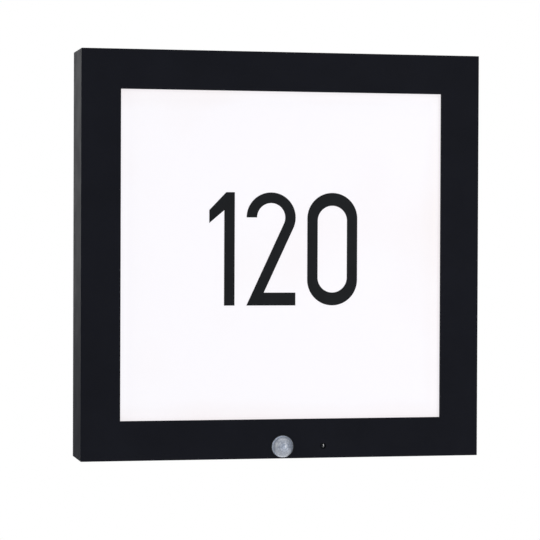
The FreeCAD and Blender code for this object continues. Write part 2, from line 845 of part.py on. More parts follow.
def housing_ribs(body, d):
    """A square ring and five pairs of level ribs on the wall side of the rear housing."""
    low, high = d.housing_back - d.rib_height, d.housing_back
    ring = d.rib_ring_inner + d.rib_thick
    pad(body, "front", low, high, square(ring), square(d.rib_ring_inner))
    half = d.rib_thick / 2
    levels = [d.rib_pitch * step for step in (-2, -1, 0, 1, 2)]
    for left, right in ((d.rib_inner_end, d.rib_ring_inner), (-d.rib_ring_inner, -d.rib_inner_end)):
        pad(body, "front", low, high, *(rectangle(left, z - half, right, z + half) for z in levels))
    driver_bosses = [circle(x, d.driver_middle, d.screw_head_radius) for x in driver_screw_columns(d)]
    pad(body, "front", d.housing_front, d.driver_front - d.driver_ear_thick * 4, *driver_bosses)


def clip_catches(body, d):
    """Walls that the wall plate's spring clips press against."""
    inner, outer = d.catch_inner, d.catch_inner + d.catch_thick
    half = d.catch_length / 2
    spans = [(inner, outer), (-outer, -inner)]
    pad(body, "front", d.catch_back, d.housing_back,
        *(rectangle(x0, z - half, x1, z + half) for x0, x1 in spans for z in both_signs(d.clip_z)))


def housing_seal(doc, d):
    body = new_body(doc, "housing_seal")
    pad(body, "front", d.housing_front, d.ledge_depth,
        square(d.rim_half - d.seal_inset), square(d.inner_half + d.seal_inset))
    return body


def housing_screws(doc, d, master):
    places = [(x, -d.housing_back, z, WALLWARD) for x, z in boss_places(d)]
    return group(doc, "housing_screws", master, places)


def terminal_cover(doc, d):
    body = new_body(doc, "terminal_cover")
    back, front = d.cover_back, d.cover_front
    pad(body, "front", back, front,
        rounded_rectangle(d.cover_half_width, d.cover_half_height, d.cover_corner))
    cut(body, "front", back, front,
        *(circle(x, z, d.screw_clearance) for x, z in corners_of(d.bay_boss_x, d.bay_boss_z)))
    cut(body, "front", back, front, circle(d.grommet_x, ZERO, d.grommet_waist + d.fit_gap))
    return body


def terminal_cover_seal(doc, d):
    body = new_body(doc, "terminal_cover_seal")
    pad(body, "front", d.cover_front, d.housing_back,
        rounded_rectangle(d.cover_seal_half_width, d.cover_seal_half_height, d.cover_corner),
        rounded_rectangle(d.bay_half_width, d.bay_half_height, d.cover_corner))
    cut(body, "front", d.cover_front, d.housing_back,
        *(circle(x, z, d.screw_clearance) for x, z in corners_of(d.bay_boss_x, d.bay_boss_z)))
    return body


def cable_grommet(doc, d):
    """A soft grommet with a groove that holds the cover's edge and a nose towards the wall."""
    body = new_body(doc, "cable_grommet")
    bore, lip, thick = d.grommet_bore, d.grommet_lip, d.cover_thick
    front = lip * 1.2
    nose = thick + lip + d.grommet_nose_length
    revolve(body, [
        (bore, -front), (d.grommet_front_flange, -front), (d.grommet_front_flange, ZERO),
        (d.grommet_waist, ZERO), (d.grommet_waist, thick), (d.grommet_flange, thick),
        (d.grommet_flange, thick + lip), (d.grommet_nose + lip / 2, thick + lip),
        (d.grommet_nose, nose), (bore, nose),
    ])
    place(body, d.grommet_x, -d.cover_front, ZERO, WALLWARD)
    return body


def terminal_block(doc, d):
    """Three screw terminals in a row, standing on the bay's floor and facing the wall."""
    body = new_body(doc, "terminal_block")
    floor, top = d.bay_floor, d.bay_floor - d.block_deep
    tall, gap = d.block_half_height, d.block_gap
    right = d.block_left + d.block_pitch * 3
    pad(body, "front", floor - d.block_web_deep, floor,
        rectangle(d.block_left, -tall + gap, right, tall - gap))
    towers = [(d.block_left + d.block_pitch * n + gap, d.block_left + d.block_pitch * (n + 1) - gap)
              for n in range(3)]
    pad(body, "front", top, floor, *(rectangle(x0, -tall, x1, tall) for x0, x1 in towers))
    half = d.sleeve_half + d.fit_gap
    middle = floor - d.sleeve_from_floor - half
    cut(body, "top", -tall, tall,
        *(rectangle(x - half, -middle - half, x + half, -middle + half) for x in pole_columns(d)))
    cut(body, "front", top, middle - half, *(circle(x, z, d.well_radius) for x, z in well_places(d)))
    return body


def pole_columns(d):
    """X of each pole of the terminal block."""
    return [d.block_left + d.block_pitch * (n + 0.5) for n in range(3)]


def well_places(d):
    """X and Z of the six clamp screws of the terminal block."""
    return [(x, z) for x in pole_columns(d) for z in both_signs(d.well_at)]


def terminal_sleeves(doc, d):
    master = new_body(doc, "terminal_sleeve")
    tall = d.block_half_height - d.block_gap
    pad(master, "top", -tall, tall, square(d.sleeve_half))
    cut(master, "top", -tall, tall, circle(ZERO, ZERO, d.sleeve_bore))
    middle = d.bay_floor - d.sleeve_from_floor - d.sleeve_half - d.fit_gap
    places = [(x, -middle, ZERO, UNTURNED) for x in pole_columns(d)]
    return group(doc, "terminal_sleeves", master, places)


def terminal_screws(doc, d):
    """Slotted clamp screws that stand on the brass sleeves."""
    master = new_body(doc, "terminal_screw")
    length = d.clamp_screw_radius
    revolve(master, [(ZERO, ZERO), (d.clamp_screw_radius, ZERO), (d.clamp_screw_radius, length),
                     (ZERO, length)])
    half = d.recess_width / 2
    reach = d.clamp_screw_radius * 2
    cut(master, "top", length / 2, length, rectangle(-reach, -half, reach, half))
    top = d.bay_floor - d.sleeve_from_floor - d.sleeve_half * 2 - d.fit_gap * 2
    places = [(x, -top, z, WALLWARD) for x, z in well_places(d)]
    return group(doc, "terminal_screws", master, places)


def cover_screws(doc, d, master):
    places = [(x, -d.cover_back, z, WALLWARD) for x, z in corners_of(d.bay_boss_x, d.bay_boss_z)]
    return group(doc, "cover_screws", master, places)


# Driver


def driver_screw_columns(d):
    return both_signs(d.driver_half_width + d.driver_ear / 2)


def driver_case(doc, d):
    """A tray that opens towards the wall, with an ear at each end."""
    body = new_body(doc, "driver_case")
    half, wall = d.driver_half_width, d.driver_wall
    low, high, back, front = d.driver_low, d.driver_high, d.driver_back, d.driver_front
    pad(body, "front", back, front, rectangle(-half, low, half, high))
    cut(body, "front", back, front - wall, rectangle(wall - half, low + wall, half - wall, high - wall))
    ear = front - d.driver_ear_thick * 4
    reach, tall = half + d.driver_ear, d.driver_ear
    middle = d.driver_middle
    for left, right in ((half - wall, reach), (-reach, wall - half)):
        pad(body, "front", ear, ear + d.driver_ear_thick,
            rectangle(left, middle - tall / 2, right, middle + tall / 2))
    cut(body, "front", ear, ear + d.driver_ear_thick,
        *(circle(x, middle, d.screw_clearance) for x in driver_screw_columns(d)))
    cut(body, "top", low, low + wall,
        circle(d.mains_lead_x, -d.mains_lead_depth, d.mains_lead_radius + d.fit_gap))
    return body


def driver_lid(doc, d):
    body = new_body(doc, "driver_lid")
    inset = d.driver_wall + d.fit_gap
    half = d.driver_half_width - inset
    pad(body, "front", d.driver_back, d.driver_back + d.driver_wall,
        rectangle(-half, d.driver_low + inset, half, d.driver_high - inset))
    return body


def driver_board(doc, d):
    body = new_body(doc, "driver_board")
    inset = d.driver_wall + d.fit_gap * 2
    half = d.driver_half_width - inset
    pad(body, "front", d.driver_board_back, d.driver_board_back + d.board_thick,
        rectangle(-half, d.driver_low + inset, half, d.driver_high - inset))
    notch = d.mains_lead_radius * 2
    cut(body, "front", d.driver_board_back, d.driver_board_back + d.board_thick,
        rectangle(d.mains_lead_x - notch, d.driver_low, d.mains_lead_x + notch, d.driver_low + notch * 1.5))
    return body


def driver_transformer(doc, d):
    """A ferrite core with its winding between two cheeks."""
    body = new_body(doc, "driver_transformer")
    base = d.driver_board_back + d.board_thick
    half, middle = d.coil_width / 2, d.driver_middle
    cheek = d.coil_width / 6
    spans = [(-half, cheek - half), (half - cheek, half)]
    pad(body, "front", base, base + d.coil_depth,
        *(rectangle(x0, middle - half, x1, middle + half) for x0, x1 in spans))
    inner = half - cheek / 2
    pad(body, "front", base + d.fit_gap * 2, base + d.coil_depth - d.fit_gap * 4,
        rectangle(-half + cheek / 2, middle - inner, half - cheek / 2, middle + inner))
    return body


def driver_capacitors(doc, d):
    """Two round capacitors that lie on the driver's board."""
    master = new_body(doc, "capacitor")
    radius, groove = d.capacitor_radius, d.capacitor_radius / 8
    length = d.capacitor_length
    revolve(master, [
        (ZERO, ZERO), (radius - groove, ZERO), (radius, groove), (radius, radius / 2),
        (radius - groove, radius / 2 + groove), (radius, radius / 2 + groove * 2),
        (radius, length - groove), (radius - groove, length), (ZERO, length),
    ])
    depth = d.driver_board_back + d.board_thick + radius + d.fit_gap
    low = d.driver_middle - length / 2
    places = [(x, -depth, low, UNTURNED) for x in both_signs(d.coil_width * 1.8)]
    return group(doc, "driver_capacitors", master, places)


def driver_screws(doc, d, master):
    depth = d.driver_front - d.driver_ear_thick * 3
    places = [(x, -depth, d.driver_middle, FRONTWARD) for x in driver_screw_columns(d)]
    return group(doc, "driver_screws", master, places)


# Sensors and setting dials


def sensor_lens(doc, d):
    """A moulded dome on a collar that passes through the casing's border."""
    body = new_body(doc, "sensor_lens")
    outer, high, wall = d.dome_radius, d.dome_height, d.dome_wall
    sphere = (outer * outer + high * high) / (high * 2)
    collar, back = d.collar_radius, -d.collar_length
    inner = collar - wall
    inner_high = high - wall
    inner_sphere = (inner * inner + inner_high * inner_high) / (inner_high * 2)
    lift = d.lens_seal_thick
    revolve(body, [
        (inner, back), (collar, back), (collar, lift), (outer, lift), (ZERO, lift + high),
        (ZERO, lift + inner_high), (inner, lift),
    ], {3: (ZERO, lift + high - sphere, 1), 5: (ZERO, lift + inner_high - inner_sphere, -1)})
    place(body, ZERO, -d.case_depth, d.sensor_z, FRONTWARD)
    return body


def lens_seal(doc, d):
    body = new_body(doc, "lens_seal")
    pad(body, "top", ZERO, d.lens_seal_thick,
        circle(ZERO, ZERO, d.dome_radius + d.lens_seal_lip),
        circle(ZERO, ZERO, d.collar_radius + d.fit_gap / 2))
    place(body, ZERO, -d.case_depth, d.sensor_z, FRONTWARD)
    return body


def sensor_board(doc, d):
    body = new_body(doc, "sensor_board")
    back, front = d.sensor_board_back, d.sensor_board_front
    pad(body, "front", back, front, rectangle(
        d.sensor_board_left, d.sensor_board_low, d.sensor_board_right, d.sensor_board_high))
    cut(body, "front", back, front, *(
        circle(x, d.sensor_post_z, d.sensor_hole) for x in (d.sensor_post_left, d.sensor_post_right)))
    return body


def sensor_screws(doc, d, master):
    places = [(x, -d.sensor_board_back, d.sensor_post_z, WALLWARD)
              for x in (d.sensor_post_left, d.sensor_post_right)]
    return group(doc, "sensor_screws", master, places)


def pir_detector(doc, d):
    """The heat detector: a metal can with a flange and a square window."""
    body = new_body(doc, "pir_detector")
    high, base = d.detector_height, d.detector_base
    revolve(body, [
        (ZERO, ZERO), (d.detector_flange, ZERO), (d.detector_flange, base), (d.detector_radius, base),
        (d.detector_radius, high), (ZERO, high),
    ])
    cut(body, "top", high - d.fit_gap * 2, high, square(d.detector_window))
    place(body, ZERO, -d.sensor_board_front, d.sensor_z, FRONTWARD)
    return body


def light_sensor(doc, d):
    body = new_body(doc, "light_sensor")
    radius, high = d.light_cell_radius, d.light_cell_height
    foot = radius * 1.25
    revolve(body, [
        (ZERO, ZERO), (foot, ZERO), (foot, radius / 2), (radius, radius / 2),
        (radius, high - radius / 2), (radius / 2, high), (ZERO, high),
    ])
    place(body, d.guide_x, -d.sensor_board_front, d.sensor_z, FRONTWARD)
    return body


def light_guide(doc, d):
    """A clear rod that leads daylight from the small hole to the light sensor."""
    body = new_body(doc, "light_guide")
    radius, tip = d.guide_radius, d.guide_tip
    shoulder = d.case_front_wall - d.guide_recess - tip
    sphere = (radius * radius + tip * tip) / (tip * 2)
    high = shoulder + tip
    revolve(body, [
        (ZERO, -d.guide_length), (radius, -d.guide_length), (radius, -d.guide_flange_thick),
        (d.guide_flange, -d.guide_flange_thick), (d.guide_flange, ZERO), (radius, ZERO),
        (radius, shoulder), (ZERO, high),
    ], {6: (ZERO, high - sphere, 1)})
    place(body, d.guide_x, -d.border_back, d.sensor_z, FRONTWARD)
    return body


def setting_dial(doc, d, label, x):
    """A slotted dial below, on a shaft that runs up into its trimmer."""
    body = new_body(doc, label)
    face = d.case_half - d.dial_recess + d.dial_top
    shaft, radius, slot_half = d.dial_shaft_radius, d.dial_radius, d.dial_slot / 2
    bevel = d.dial_recess / 2
    revolve(body, [
        (ZERO, -d.dial_shaft_length), (shaft, -d.dial_shaft_length), (shaft, ZERO), (radius, ZERO),
        (radius, face - bevel), (radius - bevel, face), (ZERO, face),
    ])
    arm = radius * d.recess_share
    cut(body, "top", face - d.dial_slot_depth, face, rectangle(-slot_half, -arm, slot_half, arm))
    place(body, x, -d.dial_depth, d.dial_top, DOWNWARD)
    return body


def trimmer_pots(doc, d):
    """The two trimmers that the dials turn, standing on the sensor board."""
    master = new_body(doc, "trimmer_pot")
    half = d.pot_half
    pad(master, "top", d.pot_low, d.pot_high, rectangle(-half, -half, half, half))
    cut(master, "top", d.pot_low, d.pot_low + d.dial_shaft_length,
        circle(ZERO, ZERO, d.pot_bore))
    places = [(x, -d.dial_depth, ZERO, UNTURNED) for x in (d.time_dial_x, d.lux_dial_x)]
    return group(doc, "trimmer_pots", master, places)


def plug(doc, d, label, x, back, z):
    """A small plug housing with a key rib on its upper face."""
    body = new_body(doc, label)
    half = d.plug_half
    pad(body, "front", ZERO, d.plug_deep, square(half))
    key = half / 3
    pad(body, "front", ZERO, d.plug_deep / 2, rectangle(-key, half - key, key, half + d.fit_gap / 2))
    place(body, x, -back, z, UNTURNED)
    return body


# Wall plate


def wall_plate(doc, d):
    """A folded steel plate: a flat back with four slots and a cable window, and two flanges."""
    body = new_body(doc, "wall_plate")
    width, height, thick = d.plate_half_width, d.plate_half_height, d.plate_thick
    corners = [
        (ZERO, -height), (-d.plate_flange, -height), (-d.plate_flange, thick - height),
        (-thick, thick - height), (-thick, height - thick), (-d.plate_flange, height - thick),
        (-d.plate_flange, height), (ZERO, height),
    ]
    pad(body, "side", -width, width, outline(corners))
    edge_z, inner_z = height.value - 0.01, height.value - thick.value
    dress(body, "Fillet", "Radius", d.plate_bend, lambda edge: (
        edge.BoundBox.XLength > 100 and edge.BoundBox.YMin > -thick.value - 0.01
        and (abs(edge.BoundBox.ZMin) > edge_z or edge.BoundBox.YMax < -thick.value + 0.01)
        and abs(edge.BoundBox.ZMin) > inner_z - 0.01))
    straight = d.slot_length / 2 - d.slot_radius
    cut(body, "front", ZERO, thick, rounded_rectangle(
        d.plate_window_half_width, d.plate_window_half_height, d.plate_window_corner))
    cut(body, "front", ZERO, thick,
        *(slot(x, z, straight, d.slot_radius) for x, z in corners_of(d.slot_x, d.slot_z)))
    cut(body, "front", ZERO, thick,
        *(circle(x, z, d.clip_rivet_radius) for x, z in corners_of(d.clip_rivet_x, d.clip_z)))
    cut(body, "top", -height, thick - height,
        *(circle(x, -d.lock_depth, d.lock_hole) for x in both_signs(d.lock_x)))
    return body


def weld_nuts(doc, d):
    """Hexagon nuts on the bottom flange, which take the locking screws."""
    master = new_body(doc, "weld_nut")
    side = d.nut_across / 2 / math.cos(math.radians(30))
    hexagon = [(side * math.cos(math.radians(60 * n)), side * math.sin(math.radians(60 * n)))
               for n in range(6)]
    pad(master, "top", ZERO, d.nut_height, outline(hexagon))
    cut(master, "top", ZERO, d.nut_height, circle(ZERO, ZERO, d.lock_hole))
    low = d.plate_thick - d.plate_half_height
    places = [(x, -d.lock_depth, low, UNTURNED) for x in both_signs(d.lock_x)]
    return group(doc, "weld_nuts", master, places)


def locking_screws(doc, d, master):
    low = -d.case_half - d.lock_head_gap
    places = [(x, -d.lock_depth, low, DOWNWARD) for x in both_signs(d.lock_x)]
    return group(doc, "locking_screws", master, places)


def spring_clips(doc, d):
    """Bent strips of spring steel, riveted to the wall plate, that grip the rear housing's catches."""
    master = new_body(doc, "spring_clip")
    thick, base = d.clip_thick, d.plate_thick
    knee, shoulder, end = base * 2, base * 3.5, base * 4.6
    corners = [
        (d.clip_inner, -base), (d.clip_bend, -base), (d.clip_knee, -knee), (d.clip_tip, -shoulder),
        (d.clip_end, -end), (d.clip_end - thick, -end), (d.clip_tip - thick * 2.2, -shoulder),
        (d.clip_knee - thick, -knee - thick), (d.clip_bend - thick, -base - thick),
        (d.clip_inner, -base - thick),
    ]
    pad(master, "top", -d.clip_half_length, d.clip_half_length, outline(corners))
    cut(master, "front", base, base + thick, circle(d.clip_rivet_x, ZERO, d.clip_rivet_radius))
    places = [(ZERO, ZERO, z, turn) for z in both_signs(d.clip_z) for turn in (UNTURNED, HALF_TURN)]
    return group(doc, "spring_clips", master, places)


def clip_rivets(doc, d):
    master = new_body(doc, "clip_rivet")
    stack = d.plate_thick + d.clip_thick
    head, radius = d.clip_rivet_head, d.clip_rivet_radius
    revolve(master, [
        (ZERO, ZERO), (radius, ZERO), (radius, stack), (head, stack), (head, stack + d.clip_thick),
        (head / 2, stack + radius), (ZERO, stack + radius),
    ])
    places = [(x, ZERO, z, FRONTWARD) for x, z in corners_of(d.clip_rivet_x, d.clip_z)]
    return group(doc, "clip_rivets", master, places)


# Leads inside the casing


def mains_lead(doc, d):
    start, end = d.block_half_height, d.driver_low + d.mains_lead_radius * 2.5
    x, depth = d.mains_lead_x, d.mains_lead_depth
    route = [(x, depth, start), (x, depth, end)]
    return lead(doc, "mains_lead", route, d.mains_lead_radius)


def sensor_lead(doc, d):
    """From the sensor board's plug back into the housing, up its left side and across to the driver."""
    x, z = d.sensor_plug_x, (d.sensor_board_low + d.sensor_board_high) / 2
    start = d.sensor_board_back - d.plug_deep
    deep = d.driver_back + d.sensor_lead_radius * 3
    column = -d.driver_half_width - d.driver_ear * 4
    end = -d.driver_half_width
    level = d.driver_low + d.driver_ear
    route = [
        (x, start, z), (x, start - 4, z), (x - 4, deep, z + 3), (x - 20, deep - 2, z + 10),
        (column + 12, deep, z + 26), (column, deep, z + 52), (column + 1, deep, z + 104),
        (column, deep, z + 150), (column + 5, deep, level - 6), (column + 16, deep, level),
        (end, deep, level),
    ]
    return lead(doc, "sensor_lead", route, d.sensor_lead_radius)


def led_lead(doc, d):
    """From the driver's right end to the plug behind the last board."""
    x, z = board_columns(d)[-1], d.led_plug_z
    plug_back = d.tray_floor - d.plug_deep
    deep = plug_back - d.led_lead_radius * 5
    start = d.driver_half_width
    route = [(start, deep, z), (x - 5, deep, z), (x, plug_back - 2.5, z), (x, plug_back, z)]
    return lead(doc, "led_lead", route, d.led_lead_radius)


def build(doc):
    d = Dimensions(doc)
    screw = screw_master(doc, d, "housing_screw", d.screw_head_radius, d.screw_head_height,
                         d.screw_radius, d.screw_length)
    cover_screw = screw_master(doc, d, "cover_screw", d.screw_head_radius, d.screw_head_height,
                               d.screw_radius, d.cover_screw_length)
    driver_screw = screw_master(doc, d, "driver_screw", d.small_head_radius, d.small_head_height,
                                d.screw_radius, d.driver_screw_length)
    lock_screw = screw_master(doc, d, "locking_screw", d.lock_head_radius, d.lock_head_height,
                              d.lock_radius, d.lock_length)
    tray_screw = screw_master(doc, d, "tray_screw", d.small_head_radius, d.small_head_height,
                              d.small_radius, d.tray_screw_length)
    sensor_screw = screw_master(doc, d, "sensor_screw", d.small_head_radius, d.small_head_height,
                                d.small_radius, d.sensor_screw_length)
    ears = corners_of(d.tray_ear_hole, d.tray_ear_hole)
    ear_back = d.diffuser_back - d.tray_thick
    sensor_middle = (d.sensor_board_low + d.sensor_board_high) / 2
    pieces = [
        front_casing(doc, d), diffuser(doc, d), diffuser_gasket(doc, d),
        numeral_one(doc, d), numeral_two(doc, d), numeral_zero(doc, d),
        reflector_tray(doc, d), led_chips(doc, d), led_lenses(doc, d), board_rivets(doc, d),
        group(doc, "tray_screws", tray_screw, [(x, -ear_back, z, WALLWARD) for x, z in ears]),
        rear_housing(doc, d), housing_seal(doc, d), housing_screws(doc, d, screw),
        terminal_cover(doc, d), terminal_cover_seal(doc, d), cover_screws(doc, d, cover_screw),
        cable_grommet(doc, d), terminal_block(doc, d), terminal_sleeves(doc, d),
        terminal_screws(doc, d), driver_case(doc, d), driver_lid(doc, d), driver_board(doc, d),
        driver_transformer(doc, d), driver_capacitors(doc, d), driver_screws(doc, d, driver_screw),
        sensor_lens(doc, d), lens_seal(doc, d), sensor_board(doc, d),
        sensor_screws(doc, d, sensor_screw), pir_detector(doc, d), light_sensor(doc, d),
        light_guide(doc, d), setting_dial(doc, d, "time_dial", d.time_dial_x),
        setting_dial(doc, d, "lux_dial", d.lux_dial_x), trimmer_pots(doc, d),
        plug(doc, d, "sensor_plug", d.sensor_plug_x, d.sensor_board_back - d.plug_deep, sensor_middle),
        plug(doc, d, "led_plug", board_columns(d)[-1], d.tray_floor - d.plug_deep, d.led_plug_z),
        mains_lead(doc, d), sensor_lead(doc, d), led_lead(doc, d),
        wall_plate(doc, d), weld_nuts(doc, d), locking_screws(doc, d, lock_screw),
        spring_clips(doc, d), clip_rivets(doc, d),
    ]
    return pieces + led_boards(doc, d)


def export(doc, pieces):
    """Writes every piece, once nothing in the document has failed and every shape is sound."""
    failed = [item.Name for item in doc.Objects if {"Invalid", "Error"} & set(item.State)]
    if failed:
        raise RuntimeError(f"failed objects: {failed}")
    for piece in pieces:
        if piece.Shape.isNull() or not piece.Shape.isValid() or not piece.Shape.Solids:
            raise RuntimeError(f"{piece.Label} has no sound shape")
    os.makedirs("parts", exist_ok=True)
    for piece in pieces:
        piece.Shape.exportStep(f"parts/{piece.Label}.step")
        print(f"{piece.Label}: {len(piece.Shape.Solids)} solids, {piece.Shape.Volume:.0f} mm3")


document = FreeCAD.newDocument("wall_light")
sub_parts = build(document)
document.recompute()
export(document, sub_parts)
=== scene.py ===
import json
import math

import bmesh
import bpy
from mathutils import Matrix, Vector


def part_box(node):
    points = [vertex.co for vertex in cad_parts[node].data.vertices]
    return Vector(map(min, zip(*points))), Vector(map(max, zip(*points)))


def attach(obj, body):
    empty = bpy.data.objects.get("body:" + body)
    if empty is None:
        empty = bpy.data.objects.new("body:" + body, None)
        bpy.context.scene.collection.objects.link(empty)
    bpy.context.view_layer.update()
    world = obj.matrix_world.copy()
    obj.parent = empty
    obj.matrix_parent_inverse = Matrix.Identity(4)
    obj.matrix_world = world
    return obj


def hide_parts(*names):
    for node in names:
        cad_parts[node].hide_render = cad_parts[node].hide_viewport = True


# The looks of a square outdoor wall light. X points to the viewer's right, Y into the wall and Z up, in
# metres. The lit panel faces -Y.

MM = 0.001
DIALS = ("time_dial", "lux_dial")

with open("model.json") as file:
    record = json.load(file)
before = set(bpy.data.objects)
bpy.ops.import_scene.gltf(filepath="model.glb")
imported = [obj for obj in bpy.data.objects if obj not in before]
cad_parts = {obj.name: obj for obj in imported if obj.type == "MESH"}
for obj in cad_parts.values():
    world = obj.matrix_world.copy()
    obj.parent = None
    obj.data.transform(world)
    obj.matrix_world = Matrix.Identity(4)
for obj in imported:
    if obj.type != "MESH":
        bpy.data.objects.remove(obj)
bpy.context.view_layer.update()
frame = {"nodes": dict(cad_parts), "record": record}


# Node trees


def add_node(tree, kind, inputs=None, **settings):
    """Adds a node, sets its settings, and fills or links its inputs."""
    node = tree.nodes.new(kind)
    for name, value in settings.items():
        setattr(node, name, value)
    for key, value in (inputs or {}).items():
        if isinstance(value, bpy.types.NodeSocket):
            tree.links.new(value, node.inputs[key])
        else:
            node.inputs[key].default_value = value
    return node


def add_math(tree, operation, *values):
    return add_node(tree, "ShaderNodeMath", dict(enumerate(values)), operation=operation).outputs[0]


# Finishes


class Finish:
    """A finish whose colour, gloss and grain come from patterns in the material's own nodes."""

    def __init__(self, name, colour, roughness, metallic=0.0, gloss=0.5):
        self.material = bpy.data.materials.new(name)
        self.material.use_nodes = True
        self.tree = self.material.node_tree
        self.shader = self.tree.nodes["Principled BSDF"]
        self.colour = colour
        self.height = None
        self.place = self.add("ShaderNodeTexCoord").outputs["Object"]
        self.set("Base Color", (*colour, 1))
        self.set("Roughness", roughness)
        self.set("Metallic", metallic)
        self.set("Specular IOR Level", gloss)

    def add(self, kind, inputs=None, **settings):
        return add_node(self.tree, kind, inputs, **settings)

    def set(self, socket, value):
        self.shader.inputs[socket].default_value = value

    def link(self, socket, output):
        self.tree.links.new(output, self.shader.inputs[socket])

    def stretched(self, stretch):
        """Object coordinates drawn out along an axis, for brushed or drawn marks."""
        return self.add("ShaderNodeMapping", {"Vector": self.place, "Scale": stretch}).outputs[0]

    def noise(self, size, detail=2.0, stretch=(1, 1, 1), distortion=0.0):
        """Cloudy noise whose blotches are about size metres across."""
        inputs = {"Vector": self.stretched(stretch), "Scale": 1 / size, "Detail": detail,
                  "Distortion": distortion}
        return self.add("ShaderNodeTexNoise", inputs).outputs["Fac"]

    def cells(self, size):
        """Cells about size metres across, each of one random colour."""
        inputs = {"Vector": self.place, "Scale": 1 / size}
        return self.add("ShaderNodeTexVoronoi", inputs).outputs["Color"]

    def spread(self, pattern, low, high, start=0.3, end=0.7):
        """A value that runs from low to high as the pattern rises from start to end."""
        inputs = {"Value": pattern, "From Min": start, "From Max": end, "To Min": low, "To Max": high}
        return self.add("ShaderNodeMapRange", inputs).outputs[0]

    def ramp(self, pattern, first, second, start, end):
        """A colour that runs from first to second as the pattern rises from start to end."""
        ramp = self.add("ShaderNodeValToRGB", {"Fac": pattern})
        for element, colour, position in zip(ramp.color_ramp.elements, (first, second), (start, end)):
            element.color = (*colour, 1)
            element.position = position
        return ramp.outputs["Color"]

    def blend(self, pattern, first, second, start=0.3, end=0.7):
        """Blends two colours of the surface by a pattern."""
        self.link("Base Color", self.ramp(pattern, first, second, start, end))

    def tint(self, pattern, darker, lighter, start=0.3, end=0.7):
        """Varies the colour between two shades of it."""
        shades = [tuple(min(1.0, part * factor) for part in self.colour) for factor in (darker, lighter)]
        self.blend(pattern, shades[0], shades[1], start, end)

    def gloss_range(self, pattern, low, high):
        self.link("Roughness", self.spread(pattern, low, high))

    def relief(self, pattern, depth):
        """Raises the surface by up to depth metres where the pattern is high. Reliefs add up."""
        inputs = {"Height": pattern, "Distance": depth, "Strength": 1.0}
        if self.height is not None:
            inputs["Normal"] = self.height
        self.height = self.add("ShaderNodeBump", inputs).outputs[0]
        self.link("Normal", self.height)


def powder_coat():
    """Fine matt powder coat in anthracite, with the slight ripple of a baked coat."""
    coat = Finish("powder_coat", (0.0065, 0.0071, 0.0107), 0.58, gloss=0.05)
    coat.tint(coat.noise(0.03, 3), 0.92, 1.08)
    coat.gloss_range(coat.noise(0.02, 2), 0.55, 0.63)
    coat.relief(coat.noise(0.0016, 2), 0.000012)
    coat.relief(coat.noise(0.0004, 2), 0.000022)
    return coat


def opal_glow():
    """Satin opal acrylic, lit evenly from behind.

    The light is a cool white, and faintly rosy along the top, the foot and the right edge. Close to
    the frame it rises a little, because the frame keeps some of the outer light off the panel there.
    """
    opal = Finish("opal_glow", (0.22, 0.215, 0.22), 0.38, gloss=0.3)
    parts = opal.add("ShaderNodeSeparateXYZ", {"Vector": opal.place}).outputs
    level = add_math(opal.tree, "ABSOLUTE", parts["Z"])
    on_three_sides = add_math(opal.tree, "MAXIMUM", parts["X"], level)
    all_round = add_math(opal.tree, "MAXIMUM", add_math(opal.tree, "ABSOLUTE", parts["X"]), level)
    rosy_from, bright_from, panel_end = 99 * MM, 107 * MM, 114 * MM
    edge = opal.spread(on_three_sides, 0.0, 0.36, rosy_from, panel_end)
    rosiness = add_math(opal.tree, "ADD", edge, opal.noise(0.075, 1))
    cool_white, rosy_white = (0.975, 0.958, 1.0), (0.945, 0.895, 0.91)
    opal.link("Emission Color", opal.ramp(rosiness, cool_white, rosy_white, 0.5, 1.0))
    opal.link("Emission Strength", opal.spread(all_round, 0.765, 0.81, bright_from, panel_end))
    opal.gloss_range(opal.noise(0.004, 2), 0.34, 0.42)
    return opal


def matt_foil():
    foil = Finish("matt_foil", (0.0040, 0.0050, 0.0065), 0.5, gloss=0.15)
    foil.tint(foil.noise(0.012, 3), 0.85, 1.2)
    foil.gloss_range(foil.noise(0.003, 2), 0.45, 0.58)
    foil.relief(foil.noise(0.0006, 3), 0.000008)
    return foil


def lens_polymer():
    """Milky blue-grey sensor plastic, darker along the borders between its small lenses."""
    milky = Finish("lens_polymer", (0.314, 0.352, 0.425), 0.2)
    # The dome's tone also holds painted light: a paler middle, painted shade on the outer rings and a pale
    # painted rim light
    tone = milky.add("ShaderNodeAttribute", attribute_name="lens_tone_and_painted_light").outputs["Fac"]
    mottle = milky.noise(0.0012, 3)
    milky.tint(add_math(milky.tree, "MULTIPLY_ADD", mottle, 0.5, tone), 0.62, 1.3, 0.2, 1.3)
    milky.set("Coat Weight", 1.0)
    milky.set("Coat IOR", 1.75)
    milky.set("Coat Roughness", 0.03)
    milky.set("Subsurface Weight", 0.25)
    milky.set("Subsurface Radius", (0.0006, 0.0006, 0.0007))
    milky.set("Subsurface Scale", 1.0)
    milky.gloss_range(milky.noise(0.0007, 2), 0.12, 0.2)
    milky.relief(milky.noise(0.0004, 2), 0.000003)
    return milky


def clear_polymer():
    clear = Finish("clear_polymer", (0.88, 0.91, 0.93), 0.05)
    clear.set("Transmission Weight", 0.92)
    clear.set("IOR", 1.49)
    clear.tint(clear.noise(0.001, 2), 0.94, 1.05)
    clear.gloss_range(clear.noise(0.0015, 2), 0.03, 0.09)
    return clear


